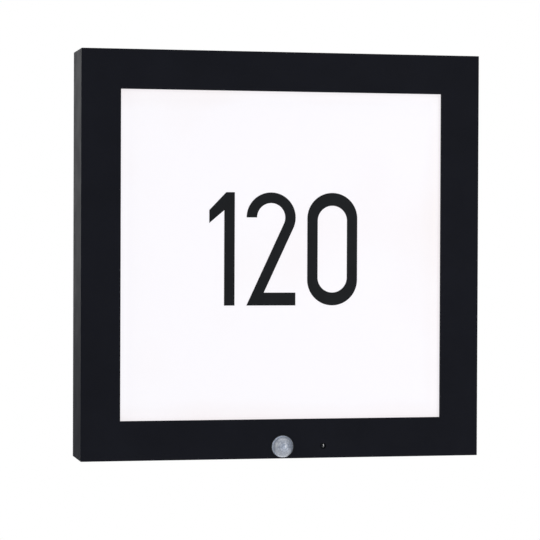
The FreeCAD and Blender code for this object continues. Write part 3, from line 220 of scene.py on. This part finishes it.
def smoked_polymer():
    """Smoked clear plastic that looks black but for one upright glint on its tip.

    Its polish fades towards the left, where it would otherwise mirror the floor and the room.
    """
    smoke = Finish("smoked_polymer", (0.012, 0.013, 0.016), 0.08)
    facing = smoke.add("ShaderNodeTexCoord").outputs["Normal"]
    rightward = smoke.add("ShaderNodeSeparateXYZ", {"Vector": facing}).outputs["X"]
    dull, dull_until, polished_from = 0.05, -0.04, 0.06
    smoke.link("Coat Weight", smoke.spread(rightward, dull, 1.0, dull_until, polished_from))
    smoke.link("Specular IOR Level", smoke.spread(rightward, dull, 0.8, dull_until, polished_from))
    smoke.set("Coat IOR", 1.7)
    smoke.set("Coat Roughness", 0.03)
    smoke.tint(smoke.noise(0.001, 2), 0.8, 1.3)
    smoke.gloss_range(smoke.noise(0.0015, 2), 0.05, 0.12)
    return smoke


def silicone():
    soft = Finish("silicone", (0.46, 0.48, 0.49), 0.6, gloss=0.35)
    soft.tint(soft.noise(0.006, 3), 0.88, 1.1)
    soft.gloss_range(soft.noise(0.0015, 2), 0.52, 0.68)
    soft.relief(soft.noise(0.0005, 3), 0.00002)
    return soft


def black_rubber():
    rubber = Finish("black_rubber", (0.012, 0.012, 0.013), 0.7, gloss=0.3)
    rubber.tint(rubber.noise(0.002, 3), 0.75, 1.4)
    rubber.gloss_range(rubber.noise(0.001, 2), 0.6, 0.8)
    rubber.relief(rubber.noise(0.0003, 3), 0.00002)
    return rubber


def moulded(name, colour, roughness, grain=0.00045, depth=0.000018):
    """Injection-moulded plastic with a spark-eroded grain and faint flow marks."""
    plastic = Finish(name, colour, roughness, gloss=0.45)
    plastic.tint(plastic.noise(0.03, 2, distortion=1.5), 0.93, 1.06)
    plastic.gloss_range(plastic.noise(0.008, 3), roughness - 0.05, roughness + 0.06)
    plastic.relief(plastic.noise(grain, 2), depth)
    return plastic


def zinc_plate():
    """Zinc-plated sheet: fine crystals of slightly different shine, rolling marks and dull clouds."""
    zinc = Finish("zinc_plate", (0.60, 0.62, 0.64), 0.4, metallic=1.0)
    crystals = zinc.add("ShaderNodeSeparateColor", {"Color": zinc.cells(0.0028)}).outputs[0]
    clouds = zinc.noise(0.03, 3)
    mixed = add_math(zinc.tree, "MULTIPLY_ADD", crystals, 0.22, clouds)
    zinc.tint(mixed, 0.86, 1.06, 0.3, 0.95)
    rolled = zinc.noise(0.0012, 2, stretch=(1, 1, 0.03))
    zinc.gloss_range(add_math(zinc.tree, "MULTIPLY_ADD", crystals, 0.2, rolled), 0.36, 0.5)
    zinc.relief(rolled, 0.000004)
    return zinc


def drawn_metal(name, colour, roughness, stretch, mark=0.0004):
    """Bare metal with fine marks drawn out along one axis."""
    metal = Finish(name, colour, roughness, metallic=1.0)
    marks = metal.noise(mark, 2, stretch)
    metal.tint(metal.noise(0.004, 2), 0.86, 1.08)
    metal.gloss_range(marks, roughness - 0.08, roughness + 0.1)
    metal.relief(marks, 0.000006)
    return metal


def circuit_board(name, board, track, size):
    """A lacquered board with squared tracks showing through the lacquer."""
    lacquer = Finish(name, board, 0.32)
    net = lacquer.add("ShaderNodeTexVoronoi", {"Vector": lacquer.place, "Scale": 1 / size},
                      distance="MANHATTAN").outputs["Distance"]
    lines = add_math(lacquer.tree, "PINGPONG", net, 0.12)
    lacquer.blend(lines, board, track, 0.045, 0.065)
    lacquer.gloss_range(lacquer.noise(0.003, 2), 0.26, 0.38)
    lacquer.relief(lines, 0.00003)
    return lacquer


def cast_phosphor():
    phosphor = Finish("cast_phosphor", (0.86, 0.62, 0.12), 0.35)
    phosphor.tint(phosphor.noise(0.0006, 3), 0.8, 1.1)
    phosphor.gloss_range(phosphor.noise(0.001, 2), 0.25, 0.45)
    phosphor.relief(phosphor.noise(0.0002, 2), 0.00001)
    return phosphor


def film_sleeve():
    """Shrunk film with a pale stripe that marks one side of a capacitor."""
    blue, pale = (0.012, 0.022, 0.075), (0.45, 0.47, 0.52)
    film = Finish("film_sleeve", blue, 0.28)
    side = film.add("ShaderNodeTexWave", {"Vector": film.place, "Scale": 40.0}, bands_direction="X")
    film.blend(side.outputs["Fac"], blue, pale, 0.86, 0.90)
    film.gloss_range(film.noise(0.002, 2), 0.22, 0.36)
    film.relief(film.noise(0.0015, 2), 0.00002)
    return film


def make_finishes():
    """Every material slot of the record, with its finish."""
    return {
        "anthracite_paint": powder_coat(),
        "opal_acrylic": opal_glow(),
        "black_foil": matt_foil(),
        "lens_polymer": lens_polymer(),
        "clear_polymer": clear_polymer(),
        "smoked_polymer": smoked_polymer(),
        "silicone": silicone(),
        "black_rubber": black_rubber(),
        "white_plastic": moulded("white_plastic", (0.74, 0.74, 0.72), 0.42),
        "dark_plastic": moulded("dark_plastic", (0.030, 0.031, 0.034), 0.52, 0.0007, 0.00003),
        "grey_plastic": moulded("grey_plastic", (0.40, 0.41, 0.42), 0.4),
        "zinc_steel": zinc_plate(),
        "spring_steel": drawn_metal("spring_steel", (0.23, 0.24, 0.27), 0.3, (0.05, 1, 1)),
        "stainless": drawn_metal("stainless", (0.60, 0.59, 0.57), 0.28, (1, 1, 1), 0.0002),
        "brass": drawn_metal("brass", (0.72, 0.50, 0.20), 0.3, (1, 1, 0.06)),
        "board_white": circuit_board("board_white", (0.78, 0.78, 0.76), (0.66, 0.67, 0.66), 0.012),
        "board_green": circuit_board("board_green", (0.012, 0.085, 0.035), (0.03, 0.16, 0.07), 0.006),
        "phosphor": cast_phosphor(),
        "ferrite": moulded("ferrite", (0.045, 0.042, 0.042), 0.6),
        "sleeve_blue": film_sleeve(),
        "detector_can": drawn_metal("detector_can", (0.62, 0.60, 0.55), 0.26, (1, 0.1, 1)),
        "lead_sheath": moulded("lead_sheath", (0.66, 0.66, 0.65), 0.45, 0.0009, 0.00001),
    }


# Pieces


def dress_solids():
    """Gives every solid the finish of its slot."""
    for row in frame["record"]["subparts"]:
        solid = frame["nodes"][row["node"]].data
        solid.materials.clear()
        solid.materials.append(finishes[row["material_slot"]].material)


def keep(name, mesh, body, slot, replaced=()):
    """Makes a piece of a mesh. It moves with a body and takes a slot's finish."""
    piece = bpy.data.objects.new(name, mesh)
    bpy.context.scene.collection.objects.link(piece)
    mesh.materials.clear()
    mesh.materials.append(finishes[slot].material)
    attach(piece, body)
    if replaced:
        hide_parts(*replaced)


def finished_mesh(made, name, smooth=True):
    mesh = bpy.data.meshes.new(name)
    made.to_mesh(mesh)
    made.free()
    if smooth:
        mesh.shade_smooth()
    return mesh


# Shapes and details that follow a rule, grown by node trees


class Growth:
    """A node tree with named sizes that is run once, on a mesh or on nothing, and kept as a plain mesh."""

    def __init__(self, name, **sizes):
        self.name = name
        self.sizes = sizes
        self.tree = bpy.data.node_groups.new(name, "GeometryNodeTree")
        self.tree.interface.new_socket("Geometry", in_out="INPUT", socket_type="NodeSocketGeometry")
        self.sockets = {}
        for size, value in sizes.items():
            kind = "NodeSocketInt" if isinstance(value, int) else "NodeSocketFloat"
            socket = self.tree.interface.new_socket(size, in_out="INPUT", socket_type=kind)
            self.sockets[size] = socket.identifier
        self.tree.interface.new_socket("Geometry", in_out="OUTPUT", socket_type="NodeSocketGeometry")
        self.given = self.tree.nodes.new("NodeGroupInput").outputs

    def add(self, kind, inputs=None, output=0, **settings):
        return add_node(self.tree, kind, inputs, **settings).outputs[output]

    def math(self, operation, *values):
        return add_math(self.tree, operation, *values)

    def point(self, x=0.0, y=0.0, z=0.0):
        return self.add("ShaderNodeCombineXYZ", {"X": x, "Y": y, "Z": z})

    def copies(self, points, shape, turn=(0, 0, 0), stretch=(1, 1, 1)):
        inputs = {"Points": points, "Instance": shape, "Rotation": turn, "Scale": stretch}
        return self.add("GeometryNodeInstanceOnPoints", inputs)

    def grow(self, shape, slot, placement=Matrix.Identity(4), base=None):
        """Ends the tree, runs it once with the named sizes and returns the plain mesh."""
        real = self.add("GeometryNodeRealizeInstances", {"Geometry": shape})
        painted = self.add("GeometryNodeSetMaterial",
                           {"Geometry": real, "Material": finishes[slot].material})
        self.tree.links.new(painted, self.tree.nodes.new("NodeGroupOutput").inputs[0])
        host = bpy.data.objects.new(f"{self.name}_host", base or bpy.data.meshes.new(self.name))
        bpy.context.scene.collection.objects.link(host)
        grower = host.modifiers.new("grower", "NODES")
        grower.node_group = self.tree
        for size, value in self.sizes.items():
            grower[self.sockets[size]] = value
        bpy.context.view_layer.update()
        grown = host.evaluated_get(bpy.context.evaluated_depsgraph_get())
        mesh = bpy.data.meshes.new_from_object(grown)
        mesh.name = self.name
        host.modifiers.remove(grower)
        bpy.data.objects.remove(host)
        mesh.transform(placement)
        return mesh


def turned(name, profile, turns):
    """A mesh turned about Z from radius and height pairs. Both ends of the profile lie on the axis."""
    made = bmesh.new()
    angles = [2 * math.pi * turn / turns for turn in range(turns)]
    first, last = made.verts.new((0, 0, profile[0][1])), made.verts.new((0, 0, profile[-1][1]))
    rows = [[made.verts.new((radius * math.cos(a), radius * math.sin(a), height)) for a in angles]
            for radius, height in profile[1:-1]]
    for turn in range(turns):
        after = (turn + 1) % turns
        made.faces.new((first, rows[0][turn], rows[0][after]))
        made.faces.new((rows[-1][turn], last, rows[-1][after]))
        for near, far in zip(rows, rows[1:]):
            made.faces.new((near[turn], far[turn], far[after], near[after]))
    bmesh.ops.recalc_face_normals(made, faces=made.faces)
    return finished_mesh(made, name)


def arc(radius, sunk, spread, steps):
    """Radius and height pairs along an arc from the axis, about a centre sunk below the base."""
    leans = [spread * step / steps for step in range(steps + 1)]
    return [(radius * math.sin(lean), radius * math.cos(lean) - sunk) for lean in leans]


def dome_lenses(sphere, sunk):
    """Rings of small lenses in the dome: shallow grooves along their borders, and fine steps as shades."""
    growth = Growth("dome_lenses", Sphere=sphere, Sunk=sunk, Skin=0.2 * MM, Pitch=math.radians(12.8),
                    Rings=5, Segments=6, Groove=0.5 * MM, Depth=0.06 * MM, Steps=5.0, Darkest=0.38,
                    Palest=0.62, Painted_centre_light=0.43, Painted_shade_a_ring=0.22, Last_painted_shade=3.4, Step_fade=0.2,
                    Groove_fade=0.5, Painted_rim_light=0.9, Ids_a_ring=64.0, Seed=7)
    given, calc = growth.given, growth.math

    # Where a point lies: its way from the sphere's centre, its lean from the dome's axis and its turn
    place = growth.add("GeometryNodeInputPosition")
    centre = growth.point(0.0, 0.0, calc("MULTIPLY", given["Sunk"], -1.0))
    way = growth.add("ShaderNodeVectorMath", {0: place, 1: centre}, operation="SUBTRACT")
    reach = growth.add("ShaderNodeVectorMath", {0: way}, output=1, operation="LENGTH")
    parts = add_node(growth.tree, "ShaderNodeSeparateXYZ", {0: way}).outputs
    lean = calc("ARCCOSINE", calc("DIVIDE", parts["Z"], reach))
    turn = calc("DIVIDE", calc("ARCTAN2", parts["Y"], parts["X"]), 2 * math.pi)

    # Which ring and which lens it belongs to. The middle lens is ring 0, and each ring has more lenses.
    row = calc("DIVIDE", lean, given["Pitch"])
    ring = calc("FLOOR", row)
    middle = calc("LESS_THAN", ring, 0.5)
    count = calc("MAXIMUM", calc("MULTIPLY", ring, given["Segments"]), 1.0)
    share = calc("MULTIPLY", calc("ADD", turn, 1.0), count)
    lens_id = calc("ADD", calc("MULTIPLY", ring, given["Ids_a_ring"]), calc("FLOOR", share))

    # How near it is to the lens's border, from 0 in the lens to 1 on the border. The middle lens is round
    # and has no sides, so there they are put a metre off.
    ring_gap = calc("MULTIPLY", calc("PINGPONG", row, 0.5), given["Pitch"])
    to_ring = calc("MULTIPLY", ring_gap, given["Sphere"])
    pace = calc("DIVIDE", calc("MULTIPLY", 2 * math.pi, calc("SINE", lean)), count)
    side_gap = calc("MULTIPLY", calc("PINGPONG", share, 0.5), pace)
    to_side = calc("ADD", calc("MULTIPLY", side_gap, given["Sphere"]), middle)
    close = calc("DIVIDE", calc("MINIMUM", to_ring, to_side), given["Groove"])
    near = calc("SUBTRACT", 1.0, calc("MINIMUM", close, 1.0))

    # Lenses cover the dome's outside, as far as the last ring
    lens = calc("LESS_THAN", ring, calc("SUBTRACT", given["Rings"], 0.5))
    outer = calc("GREATER_THAN", reach, calc("SUBTRACT", given["Sphere"], given["Skin"]))
    where = calc("MULTIPLY", lens, outer)

    # The groove
    hollow = calc("MULTIPLY", calc("POWER", near, 2.0), given["Depth"])
    inwards = calc("DIVIDE", calc("MULTIPLY", calc("MULTIPLY", hollow, where), -1.0), reach)
    move = growth.add("ShaderNodeVectorMath", {0: way, "Scale": inwards}, operation="SCALE")

    # The shade: one for each lens, with fading steps across it and a dark border. Over it lies painted
    # light: paler in the middle lens, and painted shade that darkens it ring by ring outwards
    step = calc("FRACT", calc("MULTIPLY", row, given["Steps"]))
    shade = growth.add("FunctionNodeRandomValue", {
        "Min": given["Darkest"], "Max": given["Palest"], "ID": lens_id, "Seed": given["Seed"]}, output=1)
    painted_shade_outwards = calc("MULTIPLY", calc("MINIMUM", row, given["Last_painted_shade"]), given["Painted_shade_a_ring"])
    shade_and_painted_light = calc("ADD", shade, calc("SUBTRACT", given["Painted_centre_light"], painted_shade_outwards))
    faded = calc("MULTIPLY_ADD", step, given["Step_fade"], calc("MULTIPLY", near, given["Groove_fade"]))
    lens_tone_and_painted_light = calc("MULTIPLY", calc("SUBTRACT", shade_and_painted_light, faded), where)
    # The plain band beyond the last ring gets a pale tone, a painted rim light
    painted_rim_light = calc("MULTIPLY", calc("SUBTRACT", 1.0, where), given["Painted_rim_light"])
    toned = growth.add("GeometryNodeStoreNamedAttribute", {
        "Geometry": given["Geometry"], "Name": "lens_tone_and_painted_light", "Value": calc("ADD", lens_tone_and_painted_light, painted_rim_light)},
        data_type="FLOAT", domain="POINT")
    return growth, growth.add("GeometryNodeSetPosition", {"Geometry": toned, "Offset": move})


def motion_dome():
    """The sensor's milky dome: a shell with a collar, a middle lens and four rings of lenses."""
    low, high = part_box("sensor_lens")
    base, collar, wall = -42.4 * MM, 7 * MM, 1 * MM
    radius, tall, deep = (high.x - low.x) / 2, base - low.y, high.y - base
    sphere = (radius * radius + tall * tall) / (2 * tall)
    sunk = sphere - tall
    under = sphere - wall
    fine_rows, plain_rows, turns = 110, 12, 288
    outside = arc(sphere, sunk, math.asin(radius / sphere), fine_rows)
    inside = arc(under, sunk, math.asin((collar - wall) / under), plain_rows)
    skirt = [(collar, 0), (collar, -deep), (collar - wall, -deep), (collar - wall, 0)]
    shell = turned("dome_shell", outside + skirt + inside[::-1], turns)
    growth, shape = dome_lenses(sphere, sunk)
    centre = Vector(((low.x + high.x) / 2, base, (low.z + high.z) / 2))
    facing = Matrix.Translation(centre) @ Matrix.Rotation(math.radians(90), 4, "X")
    mesh = growth.grow(shape, "lens_polymer", facing, shell)
    keep("motion_dome", mesh, "head", "lens_polymer", ["sensor_lens"])


def around(growth, count, radius, sweep):
    """Points spread evenly over a sweep of a circle about Z, and the turn of each about Z."""
    index = growth.add("GeometryNodeInputIndex")
    share = growth.math("SUBTRACT", growth.math("DIVIDE", index, growth.math("SUBTRACT", count, 1)), 0.5)
    angle = growth.math("MULTIPLY", share, sweep)
    spot = growth.point(growth.math("MULTIPLY", growth.math("SINE", angle), radius),
                        growth.math("MULTIPLY", growth.math("COSINE", angle), radius))
    line = growth.add("GeometryNodeMeshLine", {"Count": count})
    points = growth.add("GeometryNodeSetPosition", {"Geometry": line, "Position": spot})
    return points, index, growth.point(0.0, 0.0, growth.math("MULTIPLY", angle, -1.0))


def add_bar(made, middle, sides):
    """A thin printed bar, given its middle and its three sides."""
    placement = Matrix.Translation(middle) @ Matrix.Diagonal((*sides, 1))
    bmesh.ops.create_cube(made, size=1, matrix=placement)


def dial_scale_marks():
    """Printed ticks round both dials on the casing's underside, and a minus and a plus at their ends."""
    made = bmesh.new()
    printed = -142.02 * MM
    aside, behind = 3.3 * MM, 4.6 * MM
    long, broad, thick = 1.0 * MM, 0.22 * MM, 0.05 * MM
    stub = (long - broad) / 2
    for dial in DIALS:
        low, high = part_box(dial)
        growth = Growth(f"{dial}_ticks", Ticks=11, Ring=4.45 * MM, Long=0.55 * MM, Broad=0.2 * MM,
                        Thick=thick, Fifth_longer=0.8, Sweep=math.radians(270))
        given = growth.given
        points, index, turn = around(growth, given["Ticks"], given["Ring"], given["Sweep"])
        tick = growth.add("GeometryNodeMeshCube",
                          {"Size": growth.point(given["Broad"], given["Long"], given["Thick"])})
        fifth = growth.math("LESS_THAN", growth.math("MODULO", index, 5.0), 0.5)
        stretch = growth.point(1.0, growth.math("MULTIPLY_ADD", fifth, given["Fifth_longer"], 1.0), 1.0)
        shape = growth.copies(points, tick, turn, stretch)
        middle = Vector(((low.x + high.x) / 2, (low.y + high.y) / 2, printed))
        placement = Matrix.Translation(middle) @ Matrix.Rotation(math.pi, 4, "X")
        made.from_mesh(growth.grow(shape, "white_plastic", placement))
        for side in (-1, 1):
            add_bar(made, middle + Vector((side * aside, behind, 0)), (long, broad, thick))
        for half in (-1, 1):
            add_bar(made, middle + Vector((aside, behind + half * (broad + stub) / 2, 0)),
                    (broad, stub, thick))
    mesh = finished_mesh(made, "dial_scale_marks", smooth=False)
    keep("dial_scale_marks", mesh, "head", "white_plastic")


def dial_pointer(dial):
    """A raised arrowhead on a dial's face that shows its setting. It points forwards in the middle."""
    low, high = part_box(dial)
    made = bmesh.new()
    tip, back, half, sunk, thick = 2.6 * MM, 1.95 * MM, 0.42 * MM, 0.05 * MM, 0.12 * MM
    rows = [[made.verts.new(((low.x + high.x) / 2 + x, (low.y + high.y) / 2 - y, low.z - proud))
             for x, y in ((0, tip), (half, back), (-half, back))] for proud in (-sunk, thick)]
    for row in rows:
        made.faces.new(row)
    for corner in range(3):
        after = (corner + 1) % 3
        made.faces.new((rows[0][corner], rows[0][after], rows[1][after], rows[1][corner]))
    bmesh.ops.recalc_face_normals(made, faces=made.faces)
    mesh = finished_mesh(made, f"{dial}_pointer", smooth=False)
    keep(f"{dial}_pointer", mesh, dial, "dark_plastic")


def dial_knurls(dial):
    """Fine ribs round a dial's rim, for a fingertip."""
    low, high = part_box(dial)
    ribs, up = 28, 2.0 * MM
    growth = Growth(f"{dial}_knurls", Ribs=ribs, Ring=3.0 * MM, Proud=0.3 * MM, Broad=0.26 * MM,
                    Tall=3.2 * MM, Sweep=2 * math.pi * (ribs - 1) / ribs)
    given = growth.given
    points, _, turn = around(growth, given["Ribs"], given["Ring"], given["Sweep"])
    rib = growth.add("GeometryNodeMeshCube",
                     {"Size": growth.point(given["Broad"], given["Proud"], given["Tall"])})
    middle = ((low.x + high.x) / 2, (low.y + high.y) / 2, low.z + up)
    mesh = growth.grow(growth.copies(points, rib, turn), "white_plastic", Matrix.Translation(middle))
    keep(f"{dial}_knurls", mesh, dial, "white_plastic")


def locking_screw_threads():
    """Threads on the two screws that lock the head to the wall plate from below."""
    low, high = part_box("locking_screws")
    apart, head_tall = 100 * MM, 2.2 * MM
    growth = Growth("locking_screw_threads", Radius=1.46 * MM, Pitch=0.5 * MM, Turns=14.0,
                    Crest=0.16 * MM, Apart=apart)
    given = growth.given
    helix = growth.add("GeometryNodeCurveSpiral", {
        "Resolution": 32, "Rotations": given["Turns"], "Start Radius": given["Radius"],
        "End Radius": given["Radius"], "Height": growth.math("MULTIPLY", given["Turns"], given["Pitch"])})
    crest = growth.add("GeometryNodeCurvePrimitiveCircle", {"Resolution": 4, "Radius": given["Crest"]})
    thread = growth.add("GeometryNodeCurveToMesh", {
        "Curve": helix, "Profile Curve": crest, "Fill Caps": True})
    pair = growth.add("GeometryNodeMeshLine", {
        "Count": 2, "Offset": growth.point(given["Apart"], 0.0, 0.0)})
    start = (-apart / 2, (low.y + high.y) / 2, low.z + head_tall)
    mesh = growth.grow(growth.copies(pair, thread), "stainless", Matrix.Translation(start))
    keep("locking_screw_threads", mesh, "wall_bracket", "stainless")


def ejector_marks():
    """Slightly raised round marks that the mould's ejector pins leave on the rear housing."""
    growth = Growth("ejector_marks", Columns=2, Rows=4, Across=216 * MM, Down=52 * MM, Radius=2.6 * MM,
                    Rim=0.2 * MM)
    given = growth.given
    tall = growth.math("MULTIPLY", growth.math("SUBTRACT", given["Rows"], 1), given["Down"])
    grid = growth.add("GeometryNodeMeshGrid", {
        "Size X": given["Across"], "Size Y": tall, "Vertices X": given["Columns"],
        "Vertices Y": given["Rows"]})
    ring = growth.add("GeometryNodeCurvePrimitiveCircle", {"Resolution": 28, "Radius": given["Radius"]})
    section = growth.add("GeometryNodeCurvePrimitiveCircle", {"Resolution": 6, "Radius": given["Rim"]})
    mark = growth.add("GeometryNodeCurveToMesh", {"Curve": ring, "Profile Curve": section})
    housing_back = -8 * MM
    placement = Matrix.Translation((0, housing_back, 0)) @ Matrix.Rotation(math.radians(90), 4, "X")
    mesh = growth.grow(growth.copies(grid, mark), "dark_plastic", placement)
    keep("ejector_marks", mesh, "head", "dark_plastic")


def grommet_ribs():
    """Fine raised rings on the grommet's flange, round its nose. Each is wider than the one inside it."""
    low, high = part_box("cable_grommet")
    growth = Growth("grommet_ribs", Ribs=3, Radius=7.5 * MM, Widening=0.09, Thick=0.2 * MM)
    given = growth.given
    line = growth.add("GeometryNodeMeshLine", {"Count": given["Ribs"], "Offset": (0, 0, 0)})
    index = growth.add("GeometryNodeInputIndex")
    wider = growth.math("MULTIPLY_ADD", index, given["Widening"], 1.0)
    ring = growth.add("GeometryNodeCurvePrimitiveCircle", {"Resolution": 72, "Radius": given["Radius"]})
    section = growth.add("GeometryNodeCurvePrimitiveCircle", {"Resolution": 10, "Radius": given["Thick"]})
    rib = growth.add("GeometryNodeCurveToMesh", {"Curve": ring, "Profile Curve": section})
    shape = growth.copies(line, rib, stretch=growth.point(wider, wider, 1.0))
    nose_tall = 1.1 * MM
    middle = ((low.x + high.x) / 2, high.y - nose_tall, (low.z + high.z) / 2)
    placement = Matrix.Translation(middle) @ Matrix.Rotation(math.radians(-90), 4, "X")
    mesh = growth.grow(shape, "black_rubber", placement)
    keep("grommet_ribs", mesh, "head", "black_rubber")


# Light, floor and camera


def studio_floor():
    """A plain pale floor, as far below the light as under one on a wall."""
    made = bmesh.new()
    broad, below = 6.5, 1.8
    bmesh.ops.create_circle(made, cap_ends=True, radius=broad, segments=128)
    bmesh.ops.translate(made, vec=(0, 0, -below), verts=made.verts)
    floor = bpy.data.objects.new("studio_floor", finished_mesh(made, "studio_floor", smooth=False))
    bpy.context.scene.collection.objects.link(floor)
    pale = Finish("pale_floor", (0.82, 0.82, 0.82), 0.8, gloss=0.1)
    pale.tint(pale.noise(0.4, 2), 0.99, 1.01)
    floor.data.materials.append(pale.material)


# Each light's azimuth, elevation, distance, width and height, and power
SOFT_BOXES = (
    ("key_box", 322, 22, 2.4, (0.9, 1.2), 6.5),
    ("glint_box", 29, 14, 2.6, (0.66, 2.8), 25),
    ("left_box", 284, 12, 2.4, (1.2, 1.9), 15),
    ("side_box", 197, 10.5, 2.4, (1.7, 1.15), 9.8),
    ("back_box", 150, 38, 2.8, (3.4, 2.8), 22),
)


def soft_box(name, azimuth, elevation, distance, size, power):
    """An area light in a direction: azimuth 0 lies in front of the panel, 90 at its right."""
    target = Vector((0, -0.02, 0))
    turn, rise = math.radians(azimuth), math.radians(elevation)
    way = Vector((math.sin(turn) * math.cos(rise), -math.cos(turn) * math.cos(rise), math.sin(rise)))
    light = bpy.data.lights.new(name, "AREA")
    light.shape = "RECTANGLE"
    light.size, light.size_y = size
    light.energy = power
    box = bpy.data.objects.new(name, light)
    box.location = way * distance + target
    box.rotation_euler = (-way).to_track_quat("-Z", "Y").to_euler()
    box.visible_camera = False
    bpy.context.scene.collection.objects.link(box)


# The sky's layers as light, from straight below at 0 to straight above at 1, with the brightness of each
SKY_LAYERS = ((0.36, 0.30), (0.43, 0.05), (0.485, 0.05), (0.54, 0.42), (0.72, 0.42), (0.9, 1.6))
SKY_BELOW, SKY_ABOVE = 0.3, 3.0
SKY_TINT = (0.97, 0.98, 1.0)


def studio_sky():
    """White to the camera. As light it is bright overhead, dim in front and dark at the horizon."""
    world = bpy.data.worlds.new("studio_sky")
    bpy.context.scene.world = world
    world.use_nodes = True
    tree = world.node_tree
    tree.nodes.clear()
    way = add_node(tree, "ShaderNodeTexCoord").outputs["Generated"]
    parts = add_node(tree, "ShaderNodeSeparateXYZ", {"Vector": way}).outputs
    rise = add_node(tree, "ShaderNodeMapRange", {
        "Value": parts["Z"], "From Min": -1.0, "From Max": 1.0}).outputs[0]
    layers = add_node(tree, "ShaderNodeValToRGB", {"Fac": rise})
    stops = layers.color_ramp.elements
    stops[0].color, stops[-1].color = (*[SKY_BELOW] * 3, 1), (*[SKY_ABOVE] * 3, 1)
    for position, brightness in SKY_LAYERS:
        stops.new(position).color = (*[brightness * part for part in SKY_TINT], 1)
    backwards = add_node(tree, "ShaderNodeMapRange", {
        "Value": parts["Y"], "From Min": -0.4, "From Max": 0.4, "To Min": 0.60, "To Max": 1.06}).outputs[0]
    glow = add_node(tree, "ShaderNodeBackground", {
        "Color": layers.outputs["Color"], "Strength": backwards})
    white = add_node(tree, "ShaderNodeBackground", {"Color": (1, 1, 1, 1), "Strength": 1.0})
    seen = add_node(tree, "ShaderNodeLightPath").outputs["Is Camera Ray"]
    mixed = add_node(tree, "ShaderNodeMixShader", {0: seen, 1: glow.outputs[0], 2: white.outputs[0]})
    add_node(tree, "ShaderNodeOutputWorld", {"Surface": mixed.outputs[0]})


def studio_camera():
    camera = bpy.data.objects.new("camera", bpy.data.cameras.new("camera"))
    camera.location = (-0.3434, -1.5863, 0.0135)
    camera.rotation_euler = [math.radians(angle) for angle in (89.143, -0.228, -12.199)]
    camera.data.sensor_width = 36
    camera.data.lens = 151.0
    camera.data.clip_start = 0.01
    bpy.context.scene.collection.objects.link(camera)
    bpy.context.scene.camera = camera


def light_studio():
    studio_floor()
    studio_sky()
    for name, azimuth, elevation, distance, size, power in SOFT_BOXES:
        soft_box(name, azimuth, elevation, distance, size, power)
    bpy.context.scene.view_settings.view_transform = "Standard"


finishes = make_finishes()
dress_solids()
motion_dome()
dial_scale_marks()
for dial in DIALS:
    dial_knurls(dial)
    dial_pointer(dial)
locking_screw_threads()
ejector_marks()
grommet_ribs()
light_studio()
studio_camera()
